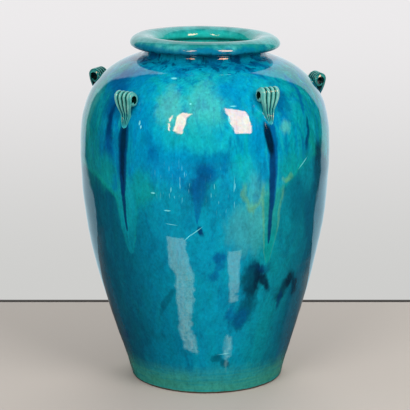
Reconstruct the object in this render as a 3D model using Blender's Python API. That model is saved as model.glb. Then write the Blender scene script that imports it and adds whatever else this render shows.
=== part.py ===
# Large glazed storage jar with a rolled rim and five ribbed scroll lugs on the shoulder.
# Units are metres, +Z is up, and the origin is the middle of the jar's underside.
# The front is towards -Y, midway between two lugs, so that one lug stands at the back on +Y.
# Every clay piece is a turned ring or a swept strap, luted to the next one in a V joint.

import math

import bmesh
import bpy
from mathutils import Vector

# Overall sizes of the jar
jar_height = 0.66
foot_radius = 0.145
belly_radius = 0.2362
shoulder_rise = 0.1778
wall_thickness = 0.012

# Fullness of the wall's two curves, as shares of the spans that they cross
foot_handle_shares = (0.226, 0.2035)
belly_handle_shares = (0.4557, 0.341)
shoulder_handle_shares = (0.041, 0.839)

# Base slab, and the heights of the two lower wall sections
slab_height = 0.015
foot_bevel = 0.002
lower_wall_height = 0.185
belly_wall_height = 0.2

# Luted V joints between the pieces
joint_clearance = 0.0003
joint_depth = 0.004

# Neck collar: thicker than the wall, because it carries the rim
neck_radius = 0.119
neck_thickness = 0.018
neck_height = 0.0135
neck_flare = 0.005
collar_reach = 0.016

# Rim: a fat oval coil, fuller above its widest level, that overhangs the neck on both sides
rim_inset = 0.0028
rim_half_width = 0.025
rim_rise = 0.0162
rim_sink = 0.0103
rim_seat_start = math.radians(232.5)
rim_seat_end = math.radians(279.5)

# Lugs: a ribbed strap that leaves the wall above its tail, rolls over and curls in behind
lug_turns = [math.radians(turn) for turn in (36, 111.5, 180, -107.5, -34)]
lug_seat_drops = (0.0505, 0.0597, 0.058, 0.0575, 0.0605)
lug_width = 0.038
lug_reach = 0.0278
lug_loop_height = 0.026
lug_strap_thickness = 0.005
lug_rib_depth = 0.0015
lug_ribs = 5
lug_front_drop = 0.026
lug_tail_length = 0.022
lug_tail_thickness = 0.0024
lug_tail_width = 0.006
lug_curl_thickness = 0.0036
tail_foot_width_share = 0.58
# The strap's middle round the loop: out from the wall as shares of the reach that it has,
# and up or down from the lug's seat as shares of the loop's height.
loop_shares = (
    (0.34, -0.75),
    (0.74, -0.40),
    (1.00, -0.06),
    (0.88, 0.215),
    (0.58, 0.33),
    (0.23, 0.25),
    (0.02, 0.03),
    (0.00, -0.25),
    (0.11, -0.46),
    (0.33, -0.46),
    (0.38, -0.29),
)
loop_full_width_point = 2
loop_taper_point = 6

# Fineness of the meshes
ring_segments = 60
lower_curve_steps = 4
shoulder_curve_steps = 9
neck_curve_steps = 5
rim_outer_steps = 11
rim_inner_steps = 9
tail_steps = 3
loop_steps = 2
halvings = 40
smooth_angle = math.radians(40)

# Glaze: dark teal at the foot, clear turquoise on the shoulder, cobalt round the neck
foot_colour = (0.012, 0.10, 0.095, 1)
lower_colour = (0.003, 0.082, 0.12, 1)
belly_colour = (0.003, 0.15, 0.225, 1)
shoulder_colour = (0.006, 0.28, 0.40, 1)
neck_colour = (0.003, 0.075, 0.135, 1)
rim_colour = (0.025, 0.20, 0.18, 1)
lug_colour = (0.12, 0.36, 0.32, 1)
glaze_roughness = 0.12

# Levels that follow from the sizes, from the top down
rim_middle_radius = neck_radius - rim_inset
rim_middle_height = jar_height - rim_rise
shoulder_top_height = rim_middle_height - rim_sink - neck_height
belly_height = shoulder_top_height - shoulder_rise


# Curves: a point is (radius, height)

def blend(first, second, share):
    return first + (second - first) * share


def halved(low, high, is_short):
    # The place between low and high where is_short turns false.
    for halving in range(halvings):
        middle = (low + high) / 2
        if is_short(middle):
            low = middle
        else:
            high = middle
    return low


def bezier_point(handles, share):
    rest = 1 - share
    weights = (rest ** 3, 3 * rest ** 2 * share, 3 * rest * share ** 2, share ** 3)
    return sum((handle * weight for handle, weight in zip(handles, weights)), Vector((0, 0)))


def bezier_points(handles, steps):
    return [bezier_point(handles, step / steps) for step in range(steps + 1)]


def wall_curves():
    # The wall's outer side: one curve from the foot to the belly, one on to the shoulder's top.
    foot = Vector((foot_radius, 0))
    belly = Vector((belly_radius, belly_height))
    top = Vector((neck_radius + neck_flare, shoulder_top_height))
    foot_handle = Vector((
        blend(foot_radius, belly_radius, foot_handle_shares[0]),
        belly_height * foot_handle_shares[1],
    ))
    below_belly = belly - Vector((0, belly_height * belly_handle_shares[0]))
    above_belly = belly + Vector((0, shoulder_rise * belly_handle_shares[1]))
    shoulder_handle = Vector((
        blend(belly_radius, top[0], shoulder_handle_shares[0]),
        blend(belly_height, shoulder_top_height, shoulder_handle_shares[1]),
    ))
    return (foot, foot_handle, below_belly, belly), (belly, above_belly, shoulder_handle, top)


lower_curve, shoulder_curve = wall_curves()


def wall_at(place):
    # Places 0 to 1 run up the lower curve, and places 1 to 2 up the shoulder's.
    if place <= 1:
        return bezier_point(lower_curve, place)
    return bezier_point(shoulder_curve, place - 1)


def wall_way(place):
    nudge_share = 0.001
    return (wall_at(min(place + nudge_share, 2)) - wall_at(max(place - nudge_share, 0))).normalized()


def outward(way):
    return Vector((way[1], -way[0]))


def inner_at(place):
    return wall_at(place) - outward(wall_way(place)) * wall_thickness


def place_at(height):
    return halved(0, 2, lambda place: wall_at(place)[1] < height)


def rim_point(angle):
    half_height = rim_rise if math.sin(angle) > 0 else rim_sink
    radius = rim_middle_radius + rim_half_width * math.cos(angle)
    return Vector((radius, rim_middle_height + half_height * math.sin(angle)))


def joint(outer, inner, shift):
    # The V across a wall from its outer to its inner side, with its sides moved up by shift.
    across = (inner - outer).normalized()
    up = Vector((-across[1], across[0]))
    up = up if up[1] >= 0 else -up
    half_width = (inner - outer).length / 2
    slack = shift * math.hypot(half_width, joint_depth) / half_width
    apex = (outer + inner) / 2 + up * joint_depth
    return [outer + up * slack, apex + up * slack, inner + up * slack]


def wall_joint(place, shift):
    return joint(wall_at(place), inner_at(place), shift)


def rim_joint(shift):
    return joint(rim_point(rim_seat_end), rim_point(rim_seat_start), shift)


# Building

def clear_scene():
    for old in list(bpy.data.objects):
        bpy.data.objects.remove(old, do_unlink=True)


def finish_material(name, colour):
    material = bpy.data.materials.new(name)
    material.use_nodes = True
    shader = material.node_tree.nodes["Principled BSDF"]
    shader.inputs["Base Color"].default_value = colour
    shader.inputs["Roughness"].default_value = glaze_roughness
    shader.inputs["Metallic"].default_value = 0
    material.diffuse_color = colour
    return material


def add_object(name, bm, colour):
    bmesh.ops.recalc_face_normals(bm, faces=bm.faces)
    mesh = bpy.data.meshes.new(name)
    bm.to_mesh(mesh)
    bm.free()
    mesh.shade_smooth()
    mesh.set_sharp_from_angle(angle=smooth_angle)
    mesh.materials.append(finish_material(name + "_finish", colour))
    piece = bpy.data.objects.new(name, mesh)
    bpy.context.collection.objects.link(piece)


def turned(name, outline, colour):
    # A ring or disc turned about the jar's axis from its closed outline.
    bm = bmesh.new()
    verts = [bm.verts.new((point[0], 0, point[1])) for point in outline]
    for first, second in zip(verts, verts[1:] + verts[:1]):
        if first.co.x > 0 or second.co.x > 0:
            bm.edges.new((first, second))
    bmesh.ops.spin(
        bm,
        geom=list(bm.verts) + list(bm.edges),
        cent=(0, 0, 0),
        axis=(0, 0, 1),
        angle=math.tau,
        steps=ring_segments,
        use_merge=True,
    )
    bmesh.ops.remove_doubles(bm, verts=bm.verts, dist=joint_clearance / 10)
    add_object(name, bm, colour)


def base_slab():
    seat = wall_joint(place_at(slab_height), 0)
    outline = [
        Vector((0, 0)),
        Vector((foot_radius - foot_bevel, 0)),
        wall_at(place_at(foot_bevel)),
        *seat,
        Vector((0, seat[2][1])),
    ]
    turned("base_slab", outline, foot_colour)


def wall_section(name, low, high, steps, colour):
    # A wall ring between two places: its foot has the groove and its head has the tongue.
    places = [blend(low, high, step / steps) for step in range(1, steps)]
    foot_groove = wall_joint(low, joint_clearance)
    outer_side = [wall_at(place) for place in places]
    inner_side = [inner_at(place) for place in places]
    outline = outer_side + wall_joint(high, 0) + inner_side[::-1] + foot_groove[::-1]
    turned(name, outline, colour)


def neck_collar(seam):
    groove = wall_joint(seam, joint_clearance)
    tongue = rim_joint(-joint_clearance)
    top = wall_at(2)
    outer_handle = top + wall_way(2) * neck_flare
    throat = Vector((neck_radius, tongue[0][1] - neck_flare / 2))
    outer_side = bezier_points((top, outer_handle, throat, tongue[0]), neck_curve_steps)
    inner_radius = neck_radius - neck_thickness
    inner_low = Vector((inner_radius + neck_flare, groove[2][1] + neck_flare))
    inner_high = Vector((inner_radius, shoulder_top_height + neck_height / 2))
    inner_side = bezier_points((tongue[2], inner_high, inner_low, groove[2]), neck_curve_steps)
    outline = outer_side[:-1] + tongue + inner_side[1:-1] + groove[::-1]
    turned("neck_collar", outline, neck_colour)


def rim_coil():
    groove = rim_joint(0)
    crest = math.pi / 2
    first = rim_seat_end - math.tau
    turns = [blend(first, crest, step / rim_outer_steps) for step in range(1, rim_outer_steps + 1)]
    turns += [blend(crest, rim_seat_start, step / rim_inner_steps) for step in range(1, rim_inner_steps)]
    outline = [rim_point(turn) for turn in turns] + groove[::-1]
    turned("rim_coil", outline, rim_colour)


# Lugs

def spline_points(points, steps):
    # A smooth curve through the points, with its ends carried straight on.
    line = [2 * points[0] - points[1]] + points + [2 * points[-1] - points[-2]]
    curve = [points[0]]
    for place in range(1, len(line) - 2):
        before, start, end, after = line[place - 1:place + 3]
        handles = (start, start + (end - before) / 6, end - (after - start) / 6, end)
        curve += bezier_points(handles, steps)[1:]
    return curve


def lug_stations(seat_drop):
    # Stations along the strap: the middle of its thickness, its width and its thickness.
    lug_height = shoulder_top_height - seat_drop
    foot_width = lug_width * tail_foot_width_share
    stations = []
    for step in range(tail_steps + 1):
        share = step / tail_steps
        thickness = blend(lug_tail_thickness, lug_strap_thickness, share)
        place = place_at(lug_height - lug_front_drop - lug_tail_length * (1 - share))
        middle = wall_at(place) + outward(wall_way(place)) * (joint_clearance + thickness / 2)
        stations.append((middle, blend(lug_tail_width, foot_width, share), thickness))

    place = place_at(lug_height)
    way = wall_way(place)
    out = outward(way)
    seat = wall_at(place) + out * (joint_clearance + lug_strap_thickness / 2)
    free_reach = lug_reach - lug_strap_thickness - joint_clearance
    points = [stations[-1][0]]
    for reach_share, height_share in loop_shares:
        points.append(seat + out * (free_reach * reach_share) + way * (lug_loop_height * height_share))
    for step, middle in enumerate(spline_points(points, loop_steps)[1:], start=1):
        point = step / loop_steps
        widening = min(1, point / (loop_full_width_point + 1))
        tapering = max(0, (point - loop_taper_point) / (len(loop_shares) - loop_taper_point))
        thickness = blend(lug_strap_thickness, lug_curl_thickness, tapering)
        stations.append((middle, blend(foot_width, lug_width, widening), thickness))
    return stations


def lug_section(width, thickness):
    # The strap's section as (across, out), ribbed on its outer side and flat on its inner one.
    half = thickness / 2
    rib_depth = lug_rib_depth * thickness / lug_strap_thickness
    places = 2 * lug_ribs
    points = []
    for place in range(places + 1):
        rise = half if place % 2 == 1 else half - rib_depth
        points.append((width * (place / places - 1 / 2), rise))
    points.append((width / 2, -half))
    points.append((-width / 2, -half))
    return points


def lug(name, angle, stations):
    # The angle is counted from the front, -Y, towards +X.
    radial = Vector((math.sin(angle), -math.cos(angle), 0))
    tangent = Vector((math.cos(angle), math.sin(angle), 0))
    upward = Vector((0, 0, 1))
    middles = [station[0] for station in stations]
    bm = bmesh.new()
    rings = []
    for place, (middle, width, thickness) in enumerate(stations):
        before = middles[max(place - 1, 0)]
        after = middles[min(place + 1, len(middles) - 1)]
        out = outward((after - before).normalized())
        ring = []
        for across, rise in lug_section(width, thickness):
            spot = middle + out * rise
            ring.append(bm.verts.new(radial * spot[0] + upward * spot[1] + tangent * across))
        rings.append(ring)
    for lower, upper in zip(rings, rings[1:]):
        for place in range(len(lower)):
            following = (place + 1) % len(lower)
            bm.faces.new((lower[place], lower[following], upper[following], upper[place]))
    bm.faces.new(rings[0])
    bm.faces.new(rings[-1])
    add_object(name, bm, lug_colour)


def jar():
    slab_seam = place_at(slab_height)
    lower_seam = place_at(slab_height + lower_wall_height)
    belly_seam = place_at(slab_height + lower_wall_height + belly_wall_height)
    collar_radius = neck_radius + neck_flare + collar_reach
    collar_seam = halved(1, 2, lambda place: wall_at(place)[0] > collar_radius)
    base_slab()
    wall_section("lower_wall", slab_seam, lower_seam, lower_curve_steps, lower_colour)
    wall_section("belly_wall", lower_seam, belly_seam, lower_curve_steps, belly_colour)
    wall_section("shoulder_wall", belly_seam, collar_seam, shoulder_curve_steps, shoulder_colour)
    neck_collar(collar_seam)
    rim_coil()
    for number, (turn, seat_drop) in enumerate(zip(lug_turns, lug_seat_drops), start=1):
        lug("lug_" + str(number), turn, lug_stations(seat_drop))


clear_scene()
jar()
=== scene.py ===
import math

import bpy
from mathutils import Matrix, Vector


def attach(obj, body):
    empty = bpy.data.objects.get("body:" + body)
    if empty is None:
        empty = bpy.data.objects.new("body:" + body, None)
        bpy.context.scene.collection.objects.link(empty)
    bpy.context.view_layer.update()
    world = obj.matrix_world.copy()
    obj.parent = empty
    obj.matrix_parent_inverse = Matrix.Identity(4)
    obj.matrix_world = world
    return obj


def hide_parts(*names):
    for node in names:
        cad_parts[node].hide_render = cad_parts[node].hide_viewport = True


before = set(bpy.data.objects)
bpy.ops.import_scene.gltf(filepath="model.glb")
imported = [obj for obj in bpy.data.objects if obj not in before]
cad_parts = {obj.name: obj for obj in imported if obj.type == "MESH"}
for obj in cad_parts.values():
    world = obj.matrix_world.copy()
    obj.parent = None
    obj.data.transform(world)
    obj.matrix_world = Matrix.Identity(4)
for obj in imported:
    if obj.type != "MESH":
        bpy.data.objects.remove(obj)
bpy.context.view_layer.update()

# A big glazed storage jar, in metres. The front is towards -Y, and +Z is up.


# helpers for the modelling

weldDistance = 0.00002  # points nearer than this become one


def deselectAll():
    if bpy.context.object and bpy.context.object.mode != "OBJECT":
        bpy.ops.object.mode_set(mode="OBJECT")
    bpy.ops.object.select_all(action="DESELECT")


def makeActive(piece):
    deselectAll()
    piece.select_set(True)
    bpy.context.view_layer.objects.active = piece


def namePiece(name):
    piece = bpy.context.object
    piece.name = name
    piece.data.name = name
    return piece


def copyPiece(piece, name):
    makeActive(piece)
    bpy.ops.object.duplicate()
    return namePiece(name)


def editAll(piece):
    # opens the piece in edit mode with all of it picked
    makeActive(piece)
    bpy.ops.object.mode_set(mode="EDIT")
    bpy.ops.mesh.select_all(action="SELECT")


def pointOut(piece):
    # turns every face outwards
    editAll(piece)
    bpy.ops.mesh.normals_make_consistent(inside=False)
    bpy.ops.object.mode_set(mode="OBJECT")


def applyModifiers(piece):
    makeActive(piece)
    for modifier in list(piece.modifiers):
        bpy.ops.object.modifier_apply(modifier=modifier.name)


def smoothPiece(piece, degrees=40):
    makeActive(piece)
    bpy.ops.object.shade_smooth_by_angle(angle=math.radians(degrees))


def softStep(value, low, high):
    share = min(1, max(0, (value - low) / (high - low)))
    return share * share * (3 - 2 * share)


def drawProfile(name, knots, resolution, closed=False):
    # knots are (handle before, point, handle after), each as (radius, height)
    deselectAll()
    bpy.ops.curve.primitive_bezier_curve_add(location=(0, 0, 0))
    curve = namePiece(name)
    spline = curve.data.splines[0]
    spline.bezier_points.add(len(knots) - 2)
    for knot, (before, point, after) in zip(spline.bezier_points, knots):
        knot.handle_left_type = "FREE"
        knot.handle_right_type = "FREE"
        knot.handle_left = (before[0], 0, before[1])
        knot.co = (point[0], 0, point[1])
        knot.handle_right = (after[0], 0, after[1])
    spline.use_cyclic_u = closed
    curve.data.resolution_u = resolution
    bpy.ops.object.convert(target="MESH")
    return bpy.context.object


def spinProfile(piece, steps):
    spun = piece.modifiers.new("spun", "SCREW")
    spun.angle = math.tau
    spun.steps = steps
    spun.render_steps = steps
    spun.use_merge_vertices = True
    spun.merge_threshold = weldDistance
    spun.use_normal_flip = True
    applyModifiers(piece)


# the thrown body: one profile, spun, worked over by hand, then cut at its seams

body = {
    "foot": (0.145, 0.0),
    "footHandle": (0.1656, 0.09),
    "belowBelly": (0.2362, 0.2407),
    "belly": (0.2362, 0.4422),
    "aboveBelly": (0.2362, 0.5028),
    "shoulderHandle": (0.2316, 0.5914),
    "shoulderTop": (0.124, 0.62),
    "neckFillet": (0.1155, 0.6208),
    "throat": (0.1131, 0.6266),
    "underRim": (0.1127, 0.6362),
    "rowsPerCurve": 92,
    "neckRows": 16,
    "segments": 400,
    "throwingRings": 0.0011,  # how far the throwing rings stand out, crest to trough
    "ringSpacing": (0.6, 0.6, 0.045),
    "ringSize": 0.5,
    "handWork": 0.0016,  # and the slower swells round the body
    "handSpacing": (1, 1, 0.7),
    "handSize": 0.1,
}


def wallKnots():
    return [
        (body["foot"], body["foot"], body["footHandle"]),
        (body["belowBelly"], body["belly"], body["aboveBelly"]),
        (body["shoulderHandle"], body["shoulderTop"], body["shoulderTop"]),
    ]


def neckKnots():
    return [
        (body["shoulderTop"], body["shoulderTop"], body["neckFillet"]),
        (body["throat"], body["underRim"], body["underRim"]),
    ]


def pressInto(piece, name, strength, spacing, size):
    # pushes the surface in and out by a cloud pattern, stretched by the spacing's scale
    bpy.ops.object.empty_add(location=(0, 0, 0))
    guide = bpy.context.object
    guide.scale = spacing
    bpy.context.view_layer.update()
    clouds = bpy.data.textures.new(name, "CLOUDS")
    clouds.noise_scale = size
    clouds.noise_depth = 1
    pressed = piece.modifiers.new(name, "DISPLACE")
    pressed.texture = clouds
    pressed.texture_coords = "OBJECT"
    pressed.texture_coords_object = guide
    pressed.strength = strength
    pressed.mid_level = 0.5
    applyModifiers(piece)
    bpy.data.objects.remove(guide)


def raiseGlaze(piece, name, strength, weightAt):
    # thick glaze stands proud where the weight is
    group = piece.vertex_groups.new(name=name)
    for vert in piece.data.vertices:
        weight = weightAt(math.degrees(math.atan2(vert.co.x, -vert.co.y)), vert.co.z)
        if weight > 0.001:
            group.add([vert.index], weight, "REPLACE")
    raised = piece.modifiers.new(name, "DISPLACE")
    raised.vertex_group = name
    raised.strength = strength
    raised.mid_level = 0
    applyModifiers(piece)
    piece.vertex_groups.clear()


neckSheet = drawProfile("neckSheet", neckKnots(), body["neckRows"])
bodySheet = drawProfile("bodySheet", wallKnots(), body["rowsPerCurve"])
neckSheet.select_set(True)
bpy.ops.object.join()
editAll(bodySheet)
bpy.ops.mesh.remove_doubles(threshold=weldDistance)
bpy.ops.object.mode_set(mode="OBJECT")
spinProfile(bodySheet, body["segments"])
pressInto(bodySheet, "throwingRings", body["throwingRings"], body["ringSpacing"], body["ringSize"])
pressInto(bodySheet, "handWork", body["handWork"], body["handSpacing"], body["handSize"])

runs = [
    # angle from the front, top, bottom, half width in degrees, how far it stands out
    {"turn": -35.0, "top": 0.512, "bottom": 0.36, "half": 2.2, "rise": 0.0008},
    {"turn": 34.6, "top": 0.53, "bottom": 0.462, "half": 2.6, "rise": 0.0010},
]
runShape = {
    "topWidth": 0.35,  # as a share of the full width
    "fullAt": 0.5,  # shares of the way down
    "narrowFrom": 0.75,
    "flat": 0.35,  # how much of the half width is full height
    "blur": 0.6,  # how far past the half width it ends, in degrees
}
for place, run in enumerate(runs):
    def runWeight(turn, height, run=run):
        share = (run["top"] - height) / (run["top"] - run["bottom"])
        if share < 0 or share > 1:
            return 0
        widened = runShape["topWidth"] + (1 - runShape["topWidth"]) * softStep(share, 0, runShape["fullAt"])
        half = run["half"] * widened * (1 - softStep(share, runShape["narrowFrom"], 1))
        if half <= 0:
            return 0
        return 1 - softStep(abs(turn - run["turn"]), half * runShape["flat"], half + runShape["blur"])
    raiseGlaze(bodySheet, "run" + str(place), run["rise"], runWeight)
print("body sheet:", len(bodySheet.data.polygons), "faces")


def cutPiece(name, low, high):
    # the part of the body sheet between two heights
    piece = copyPiece(bodySheet, name)
    bpy.ops.object.mode_set(mode="EDIT")
    for height, below in ((low, True), (high, False)):
        if height is None:
            continue
        bpy.ops.mesh.select_all(action="SELECT")
        bpy.ops.mesh.bisect(
            plane_co=(0, 0, height), plane_no=(0, 0, 1), clear_inner=below, clear_outer=not below
        )
    bpy.ops.object.mode_set(mode="OBJECT")
    return piece


def pullRing(start, points):
    # extrudes the picked ring of edges through (radius, height) points, about the jar's axis
    radius, height = start
    for newRadius, newHeight in points:
        bpy.ops.mesh.extrude_edges_move(
            TRANSFORM_OT_translate={"value": (0, 0, newHeight - height)}
        )
        share = newRadius / radius
        bpy.ops.transform.resize(value=(share, share, 1), center_override=(0, 0, 0))
        radius, height = newRadius, newHeight


def pickOpenEdges():
    # picks every open edge of the piece in edit mode
    bpy.ops.mesh.select_all(action="DESELECT")
    bpy.ops.mesh.select_non_manifold(
        extend=False, use_wire=False, use_boundary=True, use_multi_face=False,
        use_non_contiguous=False, use_verts=False,
    )


def pickRing(piece, height, reach=0.004):
    # picks the open edge that lies within the reach of a height, and gives its middle radius and height
    makeActive(piece)
    bpy.ops.object.mode_set(mode="EDIT")
    bpy.ops.mesh.select_mode(type="VERT")
    pickOpenEdges()
    bpy.ops.object.mode_set(mode="OBJECT")
    for edge in piece.data.edges:
        edge.select = False
    ring = []
    for vert in piece.data.vertices:
        vert.select = vert.select and abs(vert.co.z - height) < reach
        if vert.select:
            ring.append(vert.co)
    bpy.ops.object.mode_set(mode="EDIT")
    bpy.ops.mesh.select_mode(type="EDGE")
    radius = sum(math.hypot(spot.x, spot.y) for spot in ring) / len(ring)
    return radius, sum(spot.z for spot in ring) / len(ring)


def markInner(piece, outerCount):
    # keeps which points lie on the inner side, for the glaze
    inner = piece.data.attributes.new("innerSide", "FLOAT", "POINT")
    for vert in piece.data.vertices:
        inner.data[vert.index].value = 1.0 if vert.index >= outerCount else 0.0


def closeDisc(piece, height, points):
    # pulls an open edge in through the points and closes it on the jar's axis
    pullRing(pickRing(piece, height), points)
    bpy.ops.mesh.merge(type="CENTER")
    bpy.ops.object.mode_set(mode="OBJECT")


def closeInside(piece, high, inside):
    # pulls the top edge in, down the inner side and on to the foot edge, so the wall has its thickness
    outerCount = len(piece.data.vertices)
    pullRing(pickRing(piece, high), inside)
    pickOpenEdges()
    bpy.ops.mesh.bridge_edge_loops()
    pointOut(piece)
    markInner(piece, outerCount)


baseSlab = {
    "bevelTop": 0.002,
    "seam": 0.015,
    "underside": [(0.1448, 0.0009), (0.1433, 0), (0.12, 0), (0.08, 0), (0.04, 0), (0.01, 0)],
    "upperSide": [(0.1373, 0.0178), (0.1, 0.0178), (0.05, 0.0178), (0.01, 0.0178)],
}
slab = cutPiece("glazedFoot", baseSlab["bevelTop"], baseSlab["seam"])
closeDisc(slab, 0, baseSlab["underside"])
outerCount = len(slab.data.vertices)
closeDisc(slab, baseSlab["seam"], baseSlab["upperSide"])
pointOut(slab)
markInner(slab, outerCount)
print("foot closed")

lowerWall = {"low": 0.015, "high": 0.2, "inside": [
    (0.1917, 0.2027), (0.1837, 0.17), (0.1737, 0.135), (0.1627, 0.1), (0.1507, 0.06), (0.1407, 0.028),
    (0.1373, 0.0178),
]}
lower = cutPiece("lowerWall", lowerWall["low"], lowerWall["high"])
closeInside(lower, lowerWall["high"], lowerWall["inside"])

bellyWall = {"low": 0.2, "high": 0.4, "inside": [
    (0.2227, 0.4008), (0.2197, 0.36), (0.2137, 0.315), (0.2057, 0.265), (0.1977, 0.23), (0.1917, 0.2027),
]}
belly = cutPiece("bellyWall", bellyWall["low"], bellyWall["high"])
closeInside(belly, bellyWall["high"], bellyWall["inside"])

shoulderWall = {"low": 0.4, "high": 0.6152, "inside": [
    (0.1368, 0.6036), (0.158, 0.5966), (0.18, 0.5838), (0.199, 0.5646), (0.213, 0.536),
    (0.221, 0.502), (0.2242, 0.47), (0.2241, 0.43), (0.2227, 0.4008),
]}
shoulder = cutPiece("shoulderWall", shoulderWall["low"], shoulderWall["high"])
closeInside(shoulder, shoulderWall["high"], shoulderWall["inside"])

neckCollar = {"low": 0.6152, "high": 0.6362, "inside": [
    (0.1100, 0.6400), (0.1060, 0.6405), (0.1025, 0.6400), (0.1009, 0.6382), (0.1008, 0.6345),
    (0.1011, 0.628), (0.1032, 0.6198), (0.1088, 0.6132), (0.118, 0.6086), (0.128, 0.6057), (0.1368, 0.6036),
]}
neck = cutPiece("neckCollar", neckCollar["low"], None)
closeInside(neck, neckCollar["high"], neckCollar["inside"])
print("walls and collar closed")

rimCoil = {
    "middle": (0.1162, 0.6438),
    "halfWidth": 0.025,
    "rise": 0.0162,  # above its widest level
    "sink": 0.0103,  # and below it
    "seatFrom": -80.5,
    "seatTo": 232.5,
    "knots": 7,
    "rows": 12,
    "handWork": 0.0012,  # how far its swells stand out
    "handSize": 0.06,
}


def rimKnots():
    def spot(turn, along=0.0):
        # a point of the oval, moved along its own direction
        across = math.cos(turn) - along * math.sin(turn)
        up = math.sin(turn) + along * math.cos(turn)
        half = rimCoil["rise"] if up > 0 else rimCoil["sink"]
        return (
            rimCoil["middle"][0] + rimCoil["halfWidth"] * across,
            rimCoil["middle"][1] + half * up,
        )

    step = math.radians(rimCoil["seatTo"] - rimCoil["seatFrom"]) / (rimCoil["knots"] - 1)
    reach = 4 / 3 * math.tan(step / 4)
    knots = []
    for place in range(rimCoil["knots"]):
        turn = math.radians(rimCoil["seatFrom"]) + step * place
        before = spot(turn, -reach if place > 0 else 0)
        after = spot(turn, reach if place < rimCoil["knots"] - 1 else 0)
        knots.append((before, spot(turn), after))
    return knots


rim = drawProfile("rimCoil", rimKnots(), rimCoil["rows"], closed=True)
spinProfile(rim, body["segments"])
pressInto(rim, "rimHandWork", rimCoil["handWork"], (1, 1, 1), rimCoil["handSize"])
pointOut(rim)
print("rim coil spun")


# the scroll lugs: a flat ribbed strap, tapered, then curled along its path

lug = {
    "turns": (36, 111.5, 180, -107.5, -34),
    "drops": (0.0505, 0.0597, 0.058, 0.0575, 0.0605),  # seat below the shoulder's top
    "paintedShades": (0.0, 0.3, 0.12, 0.3, 0.04),  # how much darker each one is painted: painted shade, most on the two that face the sides
    "width": 0.038,
    "reach": 0.0278,  # from the wall to the front of the scroll
    "gap": 0.0003,
    "loopHeight": 0.026,
    "strap": 0.0054,
    "ribs": 4,
    "ribRise": 0.0027,
    "ribRound": 0.9,  # 1 is a plain wave, and less makes the grooves narrower
    "runOut": 0.07,  # how far the outer ribs fade at each edge, as a share of the width
    "edgeDepth": 0.2,  # how deep the glaze counts there
    "sideDepth": 0.22,  # and on the strap's sides
    "edgeRound": 0.05,
    "edgeLevel": 0.45,  # where the strap is widest, from front to back
    "tail": 0.022,
    "tailLift": 0.25,  # how far the tail's end stands off the wall, as a share of half the strap
    "frontDrop": 0.026,
    "wideFrom": 1.25,  # how much of the front drop it takes to reach the full width
    "tailWidth": 0.2,  # as shares of the full width
    "tailFootWidth": 0.56,
    "tipWidth": 0.1,  # as a share of the tail's
    "tipShare": 0.02,
    "tailThick": 0.42,  # as a share of the full thickness
    "curlThin": 0.28,  # how much thinner the strap is at its inner end
    "curlFrom": 0.6,
    "innerFill": 0.75,  # how much thicker the strap's inner half is in the curl
    "fillFrom": 0.45,
    "alongSteps": 120,
    "stepsPerRib": 10,
    "path": (
        (0.34, -0.75), (0.74, -0.40), (1.00, -0.06), (0.88, 0.215), (0.58, 0.33), (0.23, 0.25),
        (0.03, 0.05), (0.00, -0.18), (0.12, -0.38), (0.34, -0.45), (0.52, -0.40),
    ),
}


def wallSpot(height):
    # the wall's outer radius at a height, and its direction upwards, from the drawn curve
    knots = wallKnots()
    for first, second in ((knots[0], knots[1]), (knots[1], knots[2])):
        handles = [Vector(spot) for spot in (first[1], first[2], second[0], second[1])]
        if handles[0].y <= height <= handles[3].y:
            low, high = 0.0, 1.0
            for halving in range(30):
                share = (low + high) / 2
                rest = 1 - share
                spot = (rest ** 3 * handles[0] + 3 * rest ** 2 * share * handles[1]
                        + 3 * rest * share ** 2 * handles[2] + share ** 3 * handles[3])
                if spot.y < height:
                    low = share
                else:
                    high = share
            way = (3 * rest ** 2 * (handles[1] - handles[0]) + 6 * rest * share * (handles[2] - handles[1])
                   + 3 * share ** 2 * (handles[3] - handles[2])).normalized()
            return spot, way
    return Vector((0, height)), Vector((0, 1))


def lugPath(drop):
    # the middle of the strap, as (out, up) points: the tail on the wall, then the scroll
    seatHeight = body["shoulderTop"][1] - drop
    half = lug["strap"] / 2
    points = []
    for share in (0, 0.5, 1):
        spot, way = wallSpot(seatHeight - lug["frontDrop"] - lug["tail"] * (1 - share))
        out = Vector((way.y, -way.x))
        points.append(spot + out * (half * (lug["tailLift"] + (1 - lug["tailLift"]) * share)))
    seat, way = wallSpot(seatHeight)
    out = Vector((way.y, -way.x))
    seat = seat + out * (half + lug["gap"])
    freeReach = lug["reach"] - lug["strap"]
    for outShare, upShare in lug["path"]:
        points.append(seat + out * (freeReach * outShare) + way * (lug["loopHeight"] * upShare))
    return points


def curlCurve(points):
    deselectAll()
    bpy.ops.curve.primitive_bezier_curve_add(location=(0, 0, 0))
    curve = namePiece("lugPath")
    curve.data.dimensions = "2D"
    curve.data.resolution_u = 24
    spline = curve.data.splines[0]
    spline.bezier_points.add(len(points) - 2)
    for knot, point in zip(spline.bezier_points, points):
        knot.co = (point.x, point.y, 0)
    for knot in spline.bezier_points:
        knot.handle_left_type = "AUTO"
        knot.handle_right_type = "AUTO"
    bpy.context.view_layer.update()
    return curve


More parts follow.
